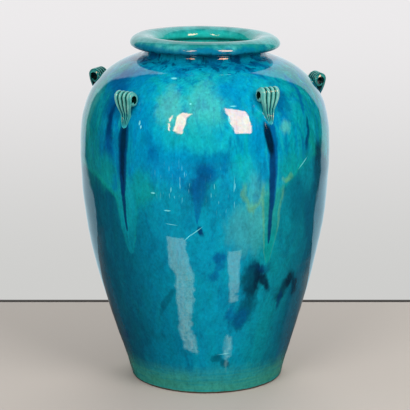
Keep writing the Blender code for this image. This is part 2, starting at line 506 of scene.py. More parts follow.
def ribbedStrap(name, length, paintedShade):
    # a straight strap along X, ribbed in front, flat behind and rounded at its edges
    strap = lug["strap"]
    rows = lug["ribs"] * lug["stepsPerRib"]
    deselectAll()
    bpy.ops.mesh.primitive_grid_add(
        x_subdivisions=lug["alongSteps"], y_subdivisions=rows, size=1, location=(0, 0, 0)
    )
    piece = namePiece(name)
    editAll(piece)
    bpy.ops.transform.translate(value=(0.5, 0, 0))
    bpy.ops.transform.resize(value=(length, lug["width"], 1), center_override=(0, 0, 0))
    bpy.ops.object.mode_set(mode="OBJECT")
    # the ribs, and how deep each row lies between them with the lug's painted shade added, kept for the glaze
    depthAndShade = piece.data.attributes.new("grooveDepthAndShade", "FLOAT", "POINT")
    along = piece.data.attributes.new("strapPlace", "FLOAT", "POINT")
    for vert in piece.data.vertices:
        across = vert.co.y / lug["width"] + 0.5
        crest = abs(math.sin(math.pi * across * lug["ribs"])) ** lug["ribRound"]
        edge = softStep(min(across, 1 - across), 0, lug["runOut"])
        depthAndShade.data[vert.index].value = (1 - crest) * edge + lug["edgeDepth"] * (1 - edge) + paintedShade
        along.data[vert.index].value = vert.co.x / length
        vert.co.z = lug["ribRise"] * (crest - 1) + strap / 2
    # the back of the strap, with a rounded edge on the way
    frontCount = len(piece.data.vertices)
    wider = 1 + lug["edgeRound"]
    editAll(piece)
    toEdge = -strap * lug["edgeLevel"]
    bpy.ops.mesh.extrude_region_move(TRANSFORM_OT_translate={"value": (0, 0, toEdge)})
    bpy.ops.transform.resize(value=(1, wider, 1), center_override=(0, 0, 0))
    bpy.ops.mesh.extrude_region_move(TRANSFORM_OT_translate={"value": (0, 0, -strap - toEdge)})
    bpy.ops.transform.resize(value=(1, 1 / wider, 0), center_override=(0, 0, -strap / 2))
    pointOut(piece)
    # painted shade: the back, in the hollow of the curl, takes the darkest level, and the sides take the
    # lug's painted shade
    for vert in piece.data.vertices[frontCount:]:
        onBack = vert.co.z < -strap * 0.499  # the flat back lies half a strap down
        level = 1.0 if onBack else lug["sideDepth"] + paintedShade
        piece.data.attributes["grooveDepthAndShade"].data[vert.index].value = level
    return piece


def taperStrap(piece, length):
    # narrow and thin at the tail, thinner in the curl, and filled out on the curl's inner side
    tailShare = lug["tail"] / length
    frontShare = (lug["tail"] + lug["frontDrop"] * lug["wideFrom"]) / length
    for vert in piece.data.vertices:
        share = vert.co.x / length
        if share < tailShare:
            width = lug["tailWidth"] + (lug["tailFootWidth"] - lug["tailWidth"]) * (share / tailShare)
        else:
            width = lug["tailFootWidth"] + (1 - lug["tailFootWidth"]) * softStep(share, tailShare, frontShare)
        tailThick = lug["tailThick"] + (1 - lug["tailThick"]) * softStep(share, 0, tailShare)
        curlThick = 1 - lug["curlThin"] * softStep(share, lug["curlFrom"], 1)
        vert.co.y *= width * (1 - (1 - lug["tipWidth"]) * (1 - softStep(share, 0, lug["tipShare"])))
        vert.co.z *= tailThick * curlThick
        if vert.co.z < 0:
            vert.co.z *= 1 + lug["innerFill"] * softStep(share, lug["fillFrom"], lug["curlFrom"])


def makeLug(name, turn, drop, paintedShade):
    curve = curlCurve(lugPath(drop))
    length = curve.data.splines[0].calc_length()
    piece = ribbedStrap(name, length, paintedShade)
    taperStrap(piece, length)
    # stands up on its edge, so that the path's plane bends it
    editAll(piece)
    bpy.ops.transform.rotate(value=-math.pi / 2, orient_axis="X", center_override=(0, 0, 0))
    bpy.ops.object.mode_set(mode="OBJECT")
    curled = piece.modifiers.new("curled", "CURVE")
    curled.object = curve
    curled.deform_axis = "POS_X"
    applyModifiers(piece)
    bpy.data.objects.remove(curve)
    # on to the shoulder
    piece.rotation_euler = (math.pi / 2, 0, math.radians(turn - 90))
    makeActive(piece)
    bpy.ops.object.transform_apply(location=True, rotation=True, scale=True)
    return piece


lugs = []
# each lug carries its painted shade into the glaze's depth attribute
for number, (turn, drop, paintedShade) in enumerate(zip(lug["turns"], lug["drops"], lug["paintedShades"]), start=1):
    lugs.append(makeLug("scrollLug" + str(number), turn, drop, paintedShade))
print("lugs curled")


# the whole jar leans and dips a little, as a hand-thrown one does

lean = {
    "footShift": 0.0035,  # the foot stands this far towards +X
    "rimSlope": 0.011,  # how steeply the rim drops towards +X
    "settle": 0.0015,  # the top comes down this far
    "drawIn": 0.9992,  # and all of it draws in a little, inside the solids' box
    "cageMiddle": 0.33,
    "cageSize": (0.6, 0.6, 0.7),
    "cageLayers": 4,
}


def leanAll(pieces):
    width = lean["cageSize"][0]
    height = lean["cageSize"][2]
    deselectAll()
    bpy.ops.object.add(type="LATTICE", location=(0, 0, lean["cageMiddle"]))
    cage = bpy.context.object
    cage.scale = lean["cageSize"]
    cage.data.points_u = cage.data.points_v = 2
    cage.data.points_w = lean["cageLayers"]
    cage.data.interpolation_type_u = cage.data.interpolation_type_v = "KEY_LINEAR"
    cage.data.interpolation_type_w = "KEY_CATMULL_ROM"
    for place, point in enumerate(cage.data.points):
        layer = place // 4  # each layer of the cage has four points
        side = 1 if place % 2 else -1
        shift = point.co_deform.copy()
        shift.x *= lean["drawIn"]
        shift.y *= lean["drawIn"]
        if layer == 0:
            shift.x += lean["footShift"] / width
        if layer == lean["cageLayers"] - 1:
            shift.z -= (side * lean["rimSlope"] * width / 2 + lean["settle"]) / height
        point.co_deform = shift
    bpy.context.view_layer.update()
    for piece in pieces:
        caged = piece.modifiers.new("lean", "LATTICE")
        caged.object = cage
        applyModifiers(piece)
    bpy.data.objects.remove(cage)


shownPieces = [slab, lower, belly, shoulder, neck, rim] + lugs
bpy.data.objects.remove(bodySheet)
leanAll(shownPieces)
for piece in shownPieces:
    smoothPiece(piece)
print("leaned")

# each piece takes the place of a solid, and the table also lists the slot of its glaze
replaced = {
    "glazedFoot": ("base_slab", "foot_glaze"),
    "lowerWall": ("lower_wall", "lower_glaze"),
    "bellyWall": ("belly_wall", "belly_glaze"),
    "shoulderWall": ("shoulder_wall", "shoulder_glaze"),
    "neckCollar": ("neck_collar", "neck_glaze"),
    "rimCoil": ("rim_coil", "rim_glaze"),
}
for number in range(1, 6):
    replaced["scrollLug" + str(number)] = ("lug_" + str(number), "lug_glaze")
for piece in shownPieces:
    node, slot = replaced[piece.name]
    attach(piece, "root")
    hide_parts(node)


# helpers for the materials

def tint(red, green, blue):
    # a screen colour, 0 to 255, as the shader's linear one
    shares = [value / 255 for value in (red, green, blue)]
    linear = [share / 12.92 if share <= 0.04045 else ((share + 0.055) / 1.055) ** 2.4 for share in shares]
    return (*linear, 1)


def addNode(tree, kind, **settings):
    node = tree.nodes.new(kind)
    for name, value in settings.items():
        setattr(node, name, value)
    return node


def feed(tree, socket, value):
    if isinstance(value, bpy.types.NodeSocket):
        tree.links.new(value, socket)
    else:
        socket.default_value = value


def maths(tree, operation, *values, clamp=False):
    node = addNode(tree, "ShaderNodeMath", operation=operation, use_clamp=clamp)
    for socket, value in zip(node.inputs, values):
        feed(tree, socket, value)
    return node.outputs[0]


def swing(tree, noise, size):
    # a noise of 0 to 1 as a push either way
    return maths(tree, "MULTIPLY_ADD", noise, size, -size / 2)


def sway(tree, value, noise, size):
    # the value pushed either way by the noise
    return maths(tree, "ADD", value, swing(tree, noise, size))


def between(tree, value, low, high, toLow=0.0, toHigh=1.0):
    # a soft step from one level to another
    node = addNode(tree, "ShaderNodeMapRange", interpolation_type="SMOOTHSTEP")
    for socket, level in zip(node.inputs, (value, low, high, toLow, toHigh)):
        feed(tree, socket, level)
    return node.outputs[0]


def mixColour(tree, share, first, second):
    node = addNode(tree, "ShaderNodeMix", data_type="RGBA", blend_type="MIX", clamp_factor=True)
    feed(tree, node.inputs[0], share)
    feed(tree, node.inputs[6], first)
    feed(tree, node.inputs[7], second)
    return node.outputs[2]


def glazeOver(tree, colour, tone, mask, share):
    # lays a tone over the colour by a share of the mask
    return mixColour(tree, maths(tree, "MULTIPLY", mask, share), colour, tone)


def gradeColour(tree, colour, light, hue=0.5):
    node = addNode(tree, "ShaderNodeHueSaturation")
    feed(tree, node.inputs["Hue"], hue)
    feed(tree, node.inputs["Value"], light)
    feed(tree, node.inputs["Color"], colour)
    return node.outputs[0]


def mixShaders(tree, share, first, second):
    node = addNode(tree, "ShaderNodeMixShader")
    for socket, value in zip(node.inputs, (share, first, second)):
        tree.links.new(value, socket)
    return node.outputs[0]


def splitPlace(tree, place):
    node = addNode(tree, "ShaderNodeSeparateXYZ")
    feed(tree, node.inputs[0], place)
    return node.outputs


def attributeOf(tree, name):
    return addNode(tree, "ShaderNodeAttribute", attribute_name=name).outputs["Fac"]


def noiseAt(tree, place, stretch, scale, detail=3.0, roughness=0.5, distortion=0.0, shift=(0, 0, 0)):
    mapping = addNode(tree, "ShaderNodeMapping")
    feed(tree, mapping.inputs["Vector"], place)
    mapping.inputs["Location"].default_value = shift
    mapping.inputs["Scale"].default_value = stretch
    noise = addNode(tree, "ShaderNodeTexNoise")
    tree.links.new(mapping.outputs[0], noise.inputs["Vector"])
    noise.inputs["Scale"].default_value = scale
    noise.inputs["Detail"].default_value = detail
    noise.inputs["Roughness"].default_value = roughness
    noise.inputs["Distortion"].default_value = distortion
    return noise.outputs["Fac"]


def noisesAt(tree, place, looks):
    # every noise of a table, by its name
    return {name: noiseAt(tree, place, *look) for name, look in looks.items()}


def rampOf(tree, value, stops):
    node = addNode(tree, "ShaderNodeValToRGB")
    feed(tree, node.inputs[0], value)
    elements = node.color_ramp.elements
    while len(elements) < len(stops):
        elements.new(0.5)
    for element, (position, colour) in zip(elements, stops):
        element.position = position
        element.color = colour
    return node.outputs[0]


def roundJar(tree, turn, stops):
    # a tone for each turn about the jar, in degrees from the front
    share = maths(tree, "MULTIPLY_ADD", turn, 1 / 360, 0.5)
    return rampOf(tree, share, [((place + 180) / 360, colour) for place, colour in stops])


def newGroup(name, inputs, outputs):
    tree = bpy.data.node_groups.new(name, "ShaderNodeTree")
    for label, kind, start in inputs:
        socket = tree.interface.new_socket(name=label, in_out="INPUT", socket_type="NodeSocket" + kind)
        if start is not None:
            socket.default_value = start
    for label, kind in outputs:
        tree.interface.new_socket(name=label, in_out="OUTPUT", socket_type="NodeSocket" + kind)
    return tree, addNode(tree, "NodeGroupInput").outputs, addNode(tree, "NodeGroupOutput").inputs


def floats(**starts):
    # number inputs for a group, by name, with what each is when nothing feeds it
    return [(name, "Float", start) for name, start in starts.items()]


def useGroup(tree, group, **values):
    node = addNode(tree, "ShaderNodeGroup", node_tree=group)
    for name, value in values.items():
        feed(tree, node.inputs[name], value)
    return node.outputs


def newMaterial(name):
    material = bpy.data.materials.new(name)
    material.use_nodes = True
    return material, material.node_tree


def setMaterial(piece, material):
    piece.data.materials.clear()
    piece.data.materials.append(material)


def objectPlace(tree):
    return addNode(tree, "ShaderNodeTexCoord").outputs["Object"]


# node groups that the glazes share

def makePlaceGroup():
    # where a spot lies on the jar: degrees round from the front, and height
    tree, given, out = newGroup(
        "jarPlace", [("Place", "Vector", None)], [("Turn", "Float"), ("Height", "Float")],
    )
    parts = splitPlace(tree, given["Place"])
    front = maths(tree, "MULTIPLY", parts["Y"], -1.0)
    turn = maths(tree, "ARCTAN2", parts["X"], front)
    feed(tree, out["Turn"], maths(tree, "MULTIPLY", turn, math.degrees(1)))
    feed(tree, out["Height"], parts["Z"])
    return tree


runEnds = {
    # by how far down the run a spot lies, 0 at its top and 1 at its point
    "starts": (-0.03, 0.06),
    "widens": (-0.05, 0.25, 0.5, 1.0),
    "lineStops": (1.02, 0.97),
    "leastHalf": 0.01,
}
surfaceNoises = {
    # stretch, scale, detail, roughness, distortion, shift
    "mottle": ((1, 1, 0.55), 70, 4, 0.62),
    "grain": ((1, 1, 0.7), 210, 3, 0.6, 0, (0.2, 0.5, 0)),
    "specks": ((1, 1, 0.8), 330, 2, 0.5),
    "swell": ((1, 1, 0.6), 28, 3, 0.55),
    "fine": ((1, 1, 1), 240, 2, 0.5),
}
speckLevels = (0.66, 0.78)
fineRelief = 0.03  # how much of the fine noise the relief has


def softEdge(tree, away, softness):
    # a mask of what is less than 1 away, and a line along its edge
    inner = maths(tree, "SUBTRACT", 1.0, softness)
    outer = maths(tree, "ADD", 1.0, softness)
    offEdge = maths(tree, "ABSOLUTE", maths(tree, "SUBTRACT", away, 1.0))
    return between(tree, away, inner, outer, 1.0, 0.0), between(tree, offEdge, 0.0, softness, 1.0, 0.0)


def makeBlotGroup():
    # a soft oval patch of glaze: Lean shifts it round by its height, Tilt lifts it by its turn
    tree, given, out = newGroup("glazeBlot", floats(
        Turn=0.0, Height=0.0, CentreTurn=0.0, CentreHeight=0.3, HalfTurn=5.0, HalfHeight=0.02, Lean=0.0,
        Tilt=0.0, Softness=0.5, Wobble=0.0,
    ), [("Mask", "Float"), ("Edge", "Float")])
    aside = maths(tree, "SUBTRACT", given["Turn"], given["CentreTurn"])
    above = maths(tree, "SUBTRACT", given["Height"], given["CentreHeight"])
    leaned = maths(tree, "SUBTRACT", aside, maths(tree, "MULTIPLY", above, given["Lean"]))
    tilted = maths(tree, "SUBTRACT", above, maths(tree, "MULTIPLY", aside, given["Tilt"]))
    across = maths(tree, "DIVIDE", leaned, given["HalfTurn"])
    up = maths(tree, "DIVIDE", tilted, given["HalfHeight"])
    squares = maths(tree, "ADD", maths(tree, "MULTIPLY", across, across), maths(tree, "MULTIPLY", up, up))
    away = maths(tree, "ADD", maths(tree, "SQRT", squares), given["Wobble"])
    mask, line = softEdge(tree, away, given["Softness"])
    feed(tree, out["Mask"], mask)
    feed(tree, out["Edge"], line)
    return tree


def makeRunGroup():
    # a run of glaze that narrows to a point as it goes down
    tree, given, out = newGroup("glazeRun", floats(
        Turn=0.0, Height=0.0, CentreTurn=0.0, Lean=0.0, Top=0.5, Bottom=0.3, HalfTurn=2.0, Taper=0.55,
        Softness=0.3, Wobble=0.0,
    ), [("Mask", "Float"), ("Edge", "Float")])
    fall = maths(tree, "SUBTRACT", given["Top"], given["Height"])
    down = maths(tree, "DIVIDE", fall, maths(tree, "SUBTRACT", given["Top"], given["Bottom"]))
    middle = maths(tree, "SUBTRACT", given["CentreTurn"], maths(tree, "MULTIPLY", fall, given["Lean"]))
    aside = maths(tree, "ABSOLUTE", maths(tree, "SUBTRACT", given["Turn"], middle))
    left = maths(tree, "SUBTRACT", 1.0, down, clamp=True)
    half = maths(tree, "MULTIPLY", given["HalfTurn"], maths(tree, "POWER", left, given["Taper"]))
    half = maths(tree, "MULTIPLY", half, between(tree, down, *runEnds["widens"]))
    half = maths(tree, "MAXIMUM", half, runEnds["leastHalf"])
    away = maths(tree, "ADD", maths(tree, "DIVIDE", aside, half), given["Wobble"])
    mask, line = softEdge(tree, away, given["Softness"])
    started = between(tree, down, *runEnds["starts"])
    line = maths(tree, "MULTIPLY", line, started)
    feed(tree, out["Mask"], maths(tree, "MULTIPLY", mask, started))
    feed(tree, out["Edge"], maths(tree, "MULTIPLY", line, between(tree, down, *runEnds["lineStops"])))
    return tree


def makeSurfaceGroup():
    # mottle, grain, pits and relief that all the glazes share
    tree, given, out = newGroup("glazeSurface", [("Place", "Vector", None)], [
        ("Mottle", "Float"), ("Grain", "Float"), ("Specks", "Float"), ("Relief", "Float"),
    ])
    noises = noisesAt(tree, given["Place"], surfaceNoises)
    feed(tree, out["Mottle"], noises["mottle"])
    feed(tree, out["Grain"], noises["grain"])
    feed(tree, out["Specks"], between(tree, noises["specks"], *speckLevels))
    fine = maths(tree, "MULTIPLY", noises["fine"], fineRelief)
    feed(tree, out["Relief"], maths(tree, "ADD", noises["swell"], fine))
    return tree


placeGroup = makePlaceGroup()
blotGroup = makeBlotGroup()
runGroup = makeRunGroup()
surfaceGroup = makeSurfaceGroup()


def blotAt(tree, at, oval, **look):
    # the blot group at (turn, height), with the oval's centre and half sizes
    names = ("CentreTurn", "CentreHeight", "HalfTurn", "HalfHeight")
    return useGroup(tree, blotGroup, Turn=at[0], Height=at[1], **dict(zip(names, oval)), **look)


def runAt(tree, at, run, **look):
    # and the run group, for a run that is given as in the lists below
    centre, top, bottom = run["at"]
    return useGroup(
        tree, runGroup, Turn=at[0], Height=at[1], CentreTurn=centre, Top=top, Bottom=bottom,
        HalfTurn=run["half"], Taper=run["taper"], Lean=run["lean"], **look,
    )


# the turquoise glaze of the body: two coats, patches, and runs under the lugs

tones = {
    "sideGreen": tint(6, 126, 130),
    "blue": tint(0, 110, 150),
    "azure": tint(0, 130, 174),
    "cyan": tint(2, 148, 180),
    "bright": tint(16, 162, 170),
    "pale": tint(84, 182, 168),
    "teal": tint(2, 142, 158),
    "cobalt": tint(0, 86, 138),
    "navy": tint(0, 54, 98),
    "ink": tint(1, 30, 52),
    "deep": tint(0, 72, 92),
    "deepTeal": tint(0, 90, 114),
    "lowBlue": tint(0, 120, 148),
    "lowBright": tint(3, 138, 166),
    "lowTeal": tint(4, 130, 144),
    "green": tint(8, 146, 134),
    "moss": tint(96, 160, 106),
    "foot": tint(56, 146, 126),
    # painted light near the mouth, on the inner side
    "inside": tint(10, 140, 130),
    "litMouth": tint(30, 172, 160),
    "fleckAndGlint": tint(120, 222, 226),
    "clay": tint(84, 62, 46),
}

upperCoat = [
    (-180, "teal"), (-115, "sideGreen"), (-62, "sideGreen"), (-45, "blue"), (-20, "cyan"), (6, "bright"),
    (24, "cyan"), (36, "azure"), (50, "teal"), (68, "sideGreen"), (115, "sideGreen"), (180, "teal"),
]
lowerCoat = [
    (-180, "deepTeal"), (-66, "deep"), (-42, "deepTeal"), (-20, "lowBlue"), (-1, "lowBright"),
    (22, "lowBright"), (40, "lowTeal"), (60, "deepTeal"), (110, "deep"), (180, "deepTeal"),
]
coatEdge = [
    # how high the upper coat's edge lies, by the turn round the jar
    (-180, 0.40), (-110, 0.42), (-64, 0.427), (-50, 0.413), (-39, 0.387), (-26, 0.385), (-12, 0.42),
    (0, 0.438), (18, 0.424), (30, 0.385), (41, 0.402), (51, 0.438), (64, 0.456), (110, 0.43), (180, 0.40),
]
coats = {
    "turnSway": 34,  # how far the tones wander round the jar, in degrees
    "edgeSway": 0.022,
    "atBack": (64, 88),  # degrees from the front between which the edge begins to fray
    "backSway": 0.28,
    "atSide": (28, 40),  # and between which it hardens
    "frontBlur": 0.05,
    "sideBlur": 0.004,
    "line": (2.2, 0.4, 0.0, 0.6),  # the green line along the edge, by how many blurs off it is
}
patches = [
    # turn, height, half turn, half height, lean in degrees per metre, tone, share
    # the front, from the shoulder down
    (-49, 0.588, 8, 0.018, 0, "cobalt", 0.85),
    (-36, 0.590, 8, 0.016, 0, "azure", 0.5),
    (-44, 0.553, 6, 0.030, 0, "cobalt", 0.9),
    (-43.4, 0.505, 2.2, 0.042, -8, "navy", 0.95),
    (-43.2, 0.464, 3.4, 0.030, 0, "cobalt", 0.75),
    (-27, 0.560, 5, 0.030, 0, "azure", 0.6),
    (-24, 0.520, 5, 0.030, 0, "azure", 0.5),
    (-12, 0.556, 6, 0.028, 0, "pale", 0.55),
    (5, 0.556, 9, 0.036, 0, "pale", 0.4),
    (4, 0.500, 10, 0.036, 0, "bright", 0.6),
    (19, 0.585, 9, 0.016, 0, "azure", 0.7),
    (20, 0.552, 6, 0.020, 0, "azure", 0.45),
    (29, 0.500, 3.5, 0.034, 0, "azure", 0.6),
    (38, 0.583, 7, 0.012, 0, "bright", 0.5),
    (46, 0.555, 4, 0.030, 0, "cobalt", 0.6),
    (43.9, 0.512, 2.4, 0.013, 0, "pale", 0.6),
    (58.3, 0.492, 1.1, 0.036, 43, "navy", 0.9),
    (60, 0.556, 1.2, 0.026, 60, "cobalt", 0.8),
    (57, 0.425, 6, 0.040, 0, "lowTeal", 0.75),
    (67, 0.454, 2.6, 0.020, 0, "ink", 0.85),
    (69, 0.420, 5, 0.050, 0, "deep", 0.7),
    (-20, 0.480, 6, 0.026, 0, "azure", 0.85),
    (-18.5, 0.470, 2.8, 0.016, 0, "cobalt", 0.85),
    (-21, 0.497, 2.4, 0.014, 0, "blue", 0.7),
    (-7, 0.452, 16, 0.034, 0, "azure", 0.85),
    (8, 0.456, 9, 0.022, 0, "blue", 0.9),
    (5.0, 0.440, 5, 0.016, 0, "cobalt", 0.9),
    (2.6, 0.412, 4.6, 0.024, 0, "navy", 0.75),
    (-45, 0.428, 7, 0.030, 0, "green", 0.6),
    (-24, 0.408, 6, 0.034, 0, "green", 0.55),
    (-58, 0.470, 9, 0.070, 0, "sideGreen", 0.5),
    (-65, 0.535, 5, 0.050, 0, "pale", 0.4),
    (10, 0.392, 7, 0.030, 0, "lowBlue", 0.4),
    (23, 0.440, 6, 0.020, 0, "bright", 0.5),
    (27, 0.408, 3.6, 0.030, 0, "pale", 0.3),
    (28, 0.392, 1.8, 0.010, 0, "blue", 0.6),
    (44.7, 0.4215, 3, 0.007, 160, "moss", 0.75),
    (46, 0.440, 7, 0.024, 0, "green", 0.5),
    (50, 0.385, 6, 0.040, 0, "deepTeal", 0.5),
    (24, 0.335, 9, 0.044, 0, "pale", 0.3),
    (33, 0.372, 8, 0.040, 0, "pale", 0.2),
    (-33, 0.375, 5, 0.050, 0, "bright", 0.6),
    (-12, 0.350, 8, 0.050, 0, "lowBright", 0.6),
    (30.2, 0.254, 5.5, 0.012, 0, "navy", 0.95),
    (29.6, 0.232, 4.0, 0.032, 10, "ink", 0.97),
    (35.6, 0.228, 2.4, 0.018, -180, "ink", 0.9),
    (26.5, 0.240, 4, 0.030, 0, "deep", 0.8),
    (54, 0.2215, 3.8, 0.013, 0, "ink", 0.75),
    (49.4, 0.2060, 4.2, 0.019, 120, "ink", 0.75),
    (48.2, 0.1880, 1.6, 0.018, 0, "navy", 0.7),
    (58.2, 0.2040, 2.5, 0.018, -120, "ink", 0.75),
    (26.0, 0.168, 5.0, 0.036, 90, "deep", 0.8),
    (24.5, 0.158, 4.0, 0.018, 60, "cobalt", 0.6),
    (19.5, 0.168, 3.2, 0.014, 0, "cobalt", 0.6),
    (11.4, 0.281, 3.0, 0.012, 0, "cobalt", 0.85),
    (12.2, 0.262, 2.4, 0.009, 0, "cobalt", 0.6),
    (9.4, 0.245, 2.8, 0.008, 0, "cobalt", 0.6),
    (12.8, 0.0745, 3.8, 0.0085, 0, "deepTeal", 0.95),
    (18.3, 0.0625, 3.0, 0.0085, 0, "deepTeal", 0.95),
    (-15.5, 0.193, 1.7, 0.034, 190, "deepTeal", 0.7),
    (-56, 0.096, 4, 0.010, 0, "navy", 0.5),
    (-38, 0.125, 9, 0.040, 0, "deep", 0.4),
    # the sides and the back
    (92, 0.530, 9, 0.034, 0, "blue", 0.7),
    (-78, 0.380, 8, 0.030, 0, "lowBlue", 0.6),
    (-92, 0.330, 9, 0.050, 0, "lowBright", 0.6),
    (84, 0.370, 8, 0.040, 0, "lowBlue", 0.6),
    (104, 0.250, 9, 0.060, 0, "lowTeal", 0.6),
    (98, 0.470, 4, 0.050, 20, "cobalt", 0.8),
    (128, 0.545, 10, 0.040, 0, "bright", 0.6),
    (146, 0.500, 8, 0.050, 0, "azure", 0.7),
    (163, 0.560, 7, 0.030, 0, "cobalt", 0.7),
    (-166, 0.520, 9, 0.044, 0, "pale", 0.5),
    (-150, 0.460, 7, 0.040, 0, "cobalt", 0.8),
    (-134, 0.550, 10, 0.034, 0, "azure", 0.7),
    (-120, 0.480, 5, 0.036, 0, "pale", 0.45),
    (-94, 0.540, 8, 0.036, 0, "cobalt", 0.7),
    (-84, 0.470, 4, 0.050, -20, "bright", 0.6),
    (122, 0.330, 12, 0.060, 0, "lowBright", 0.6),
    (160, 0.280, 8, 0.070, 0, "lowTeal", 0.7),
    (176, 0.180, 5, 0.030, 60, "navy", 0.8),
    (-140, 0.250, 14, 0.070, 0, "lowBright", 0.6),
    (-98, 0.200, 10, 0.060, 0, "lowBlue", 0.7),
    (-118, 0.140, 4, 0.018, -90, "ink", 0.8),
    (86, 0.260, 3, 0.030, 70, "navy", 0.8),
    # the small dark spot on the belly
    (3.0, 0.3325, 1.5, 0.0085, 0, "navy", 0.95),
    (-1.4, 0.345, 4, 0.008, 0, "lowBlue", 0.5),
]
fineMarksAndGlints = [
    # scratches, and small pale marks that are painted glints of light: turn, height, half turn, half height,
    # tilt in metres per degree
    (0.9, 0.3330, 2.6, 0.0008, 0.0031),
    (-2.7, 0.3220, 1.4, 0.0009, 0.0040),
    # painted glints
    (-18.3, 0.4014, 0.9, 0.0014, 0),
    (-11.8, 0.3707, 1.4, 0.0011, 0),
    # scratches
    (-10.2, 0.3450, 2.4, 0.0005, -0.0004),
    (17.0, 0.0848, 3.6, 0.0006, 0.0003),
    (54.0, 0.4440, 2.6, 0.0009, 0.0030),
    # painted glints
    (-25.9, 0.5244, 0.35, 0.0040, 0),
    (-25.0, 0.5178, 0.35, 0.0030, 0),
    (-2.0, 0.5611, 0.5, 0.0014, 0),
    (18.6, 0.5566, 1.5, 0.0009, 0),
    (16.0, 0.5360, 0.5, 0.0050, 0),
    (-13.8, 0.5995, 1.7, 0.0012, 0),
]
glazeRuns = [
    # at gives the turn, top and bottom, and lean how many degrees it drifts left in a metre of fall
    {"at": (-33.7, 0.526, 0.388), "half": 3.1, "taper": 0.42, "lean": 0, "tone": "navy", "share": 0.97},
    {"at": (-33.8, 0.516, 0.398), "half": 1.5, "taper": 0.42, "lean": 0, "tone": "ink", "share": 0.8},
    {"at": (-34.6, 0.430, 0.322), "half": 1.1, "taper": 0.3, "lean": -12, "tone": "navy", "share": 0.95},
    {"at": (2.6, 0.436, 0.347), "half": 3.4, "taper": 0.7, "lean": 12, "tone": "cobalt", "share": 0.7},
    {"at": (36.2, 0.526, 0.366), "half": 2.6, "taper": 0.3, "lean": 0, "tone": "cobalt", "share": 0.95},
    {"at": (35.9, 0.490, 0.302), "half": 1.7, "taper": 0.35, "lean": 2, "tone": "navy", "share": 0.9},
    {"at": (112, 0.520, 0.385), "half": 2.4, "taper": 0.4, "lean": 0, "tone": "navy", "share": 0.9},
    {"at": (-107.5, 0.520, 0.360), "half": 2.6, "taper": 0.4, "lean": 0, "tone": "navy", "share": 0.9},
    {"at": (179, 0.520, 0.400), "half": 2.4, "taper": 0.4, "lean": 0, "tone": "cobalt", "share": 0.9},
]
halos = [
    # where a run spread before it stopped: one tone inside and another along the edge
    {"at": (-32.6, 0.445, 0.279), "half": 7.4, "taper": 0.5, "lean": -3, "tone": "teal", "line": "green"},
    {"at": (36.4, 0.455, 0.264), "half": 6.2, "taper": 0.5, "lean": 3, "tone": "green", "line": "moss"},
    {"at": (112, 0.460, 0.300), "half": 7.0, "taper": 0.5, "lean": 0, "tone": "green", "line": "green"},
    {"at": (-107.5, 0.450, 0.270), "half": 7.0, "taper": 0.5, "lean": 2, "tone": "teal", "line": "moss"},
    {"at": (179, 0.470, 0.320), "half": 6.4, "taper": 0.5, "lean": 0, "tone": "teal", "line": "green"},
]
haloSpread = {"from": 0.03, "full": 0.075, "share": 0.5}  # how far below its top a halo comes in
patchTear = {"mottle": 0.9, "drawn": 1.1}  # how far each noise tears the edge of a patch
# ovals from here on are turn, height, half turn and half height
ringStain = {"oval": (26.8, 0.409, 5.2, 0.036), "above": 0.02, "below": 0.004, "share": 0.5}
inkBead = {"oval": (34.2, 0.497, 1.9, 0.03), "lean": -34, "softness": 0.3}
fleckPlaces = [(-8.0, 0.425, 9.0, 0.03), (13.0, 0.405, 7.0, 0.034)]
edges = {
    # how soft each kind of mark is at its edge, and how far the edge wanders
    "ring": (0.34, 0.7),
    "halo": (0.24, 0.35),
    "run": (0.34, 0.3),
    "scratchAndGlint": (0.4, 0.8),
}
wander = {
    # how far the places wander that the marks are laid by, in degrees and metres
    "nearTurn": 6.5,
    "nearHeight": 0.026,
    "calmTurn": 1.6,
    "neck": 0.018,
    "foot": 0.03,
    "bareFoot": 0.003,
}
bands = {
    # the levels between which each comes in, and how strong it is at each
    "neck": (0.603, 0.613, 0.0, 0.9),
    "neckCyan": (0.38, 0.58, 0.0, 1.0),
    "neckNavy": (0.52, 0.62, 0.0, 0.85),
    "foot": (0.066, 0.018, 0.0, 0.88),
    "throwingLines": (0.42, 0.66, 0.0, 0.5),
    "bareFoot": (0.0042, 0.0022, 0.0, 1.0),
    "litMouth": (0.56, 0.61, 0.0, 1.0),
    "breaks": (0.36, 0.58, 0.1, 0.5),
    "flecks": (0.66, 0.74, 0.0, 1.0),
}
grain = {"brushed": 0.3, "fine": 0.8, "mottle": 0.6, "hue": 0.05, "pits": 0.4}
covers = {"inner": 0.95, "flecks": 0.45, "scratchesAndGlints": 0.8}  # how much each covers what lies under it
glazeNoises = {
    # stretch, scale, detail, roughness, distortion, shift
    "broad": ((1, 1, 0.5), 9, 3, 0.5, 0, (0.3, 0.1, 0.2)),
    "cloudy": ((1, 1, 0.4), 26, 6, 0.66, 0.9),
    "washed": ((1, 1, 0.3), 34, 5, 0.62, 0.4, (0.7, 0.2, 0.4)),
    "brushed": ((1, 1, 0.08), 95, 3, 0.6),
    "wavy": ((1, 1, 0.8), 38, 4, 0.6, 0, (0, 0.4, 0)),
    "drawn": ((1, 1, 0.22), 62, 4, 0.65, 0.6, (0.1, 0.9, 0.3)),
    "lines": ((0.05, 0.05, 1), 240, 2, 0.6),
    "flecks": ((1, 1, 0.14), 300, 1, 0.5),
}
upperWashes = [
    # noise, the levels it fades in between, share, tone
    ("cloudy", 0.50, 0.64, 0.7, "azure"),
    ("washed", 0.52, 0.66, 0.65, "bright"),
    ("drawn", 0.50, 0.62, 0.65, "blue"),
    ("drawn", 0.47, 0.34, 0.7, "bright"),
    ("cloudy", 0.44, 0.32, 0.5, "green"),
]
lowerWashes = [
    ("cloudy", 0.52, 0.70, 0.4, "deepTeal"),
    ("washed", 0.56, 0.72, 0.3, "lowTeal"),
]


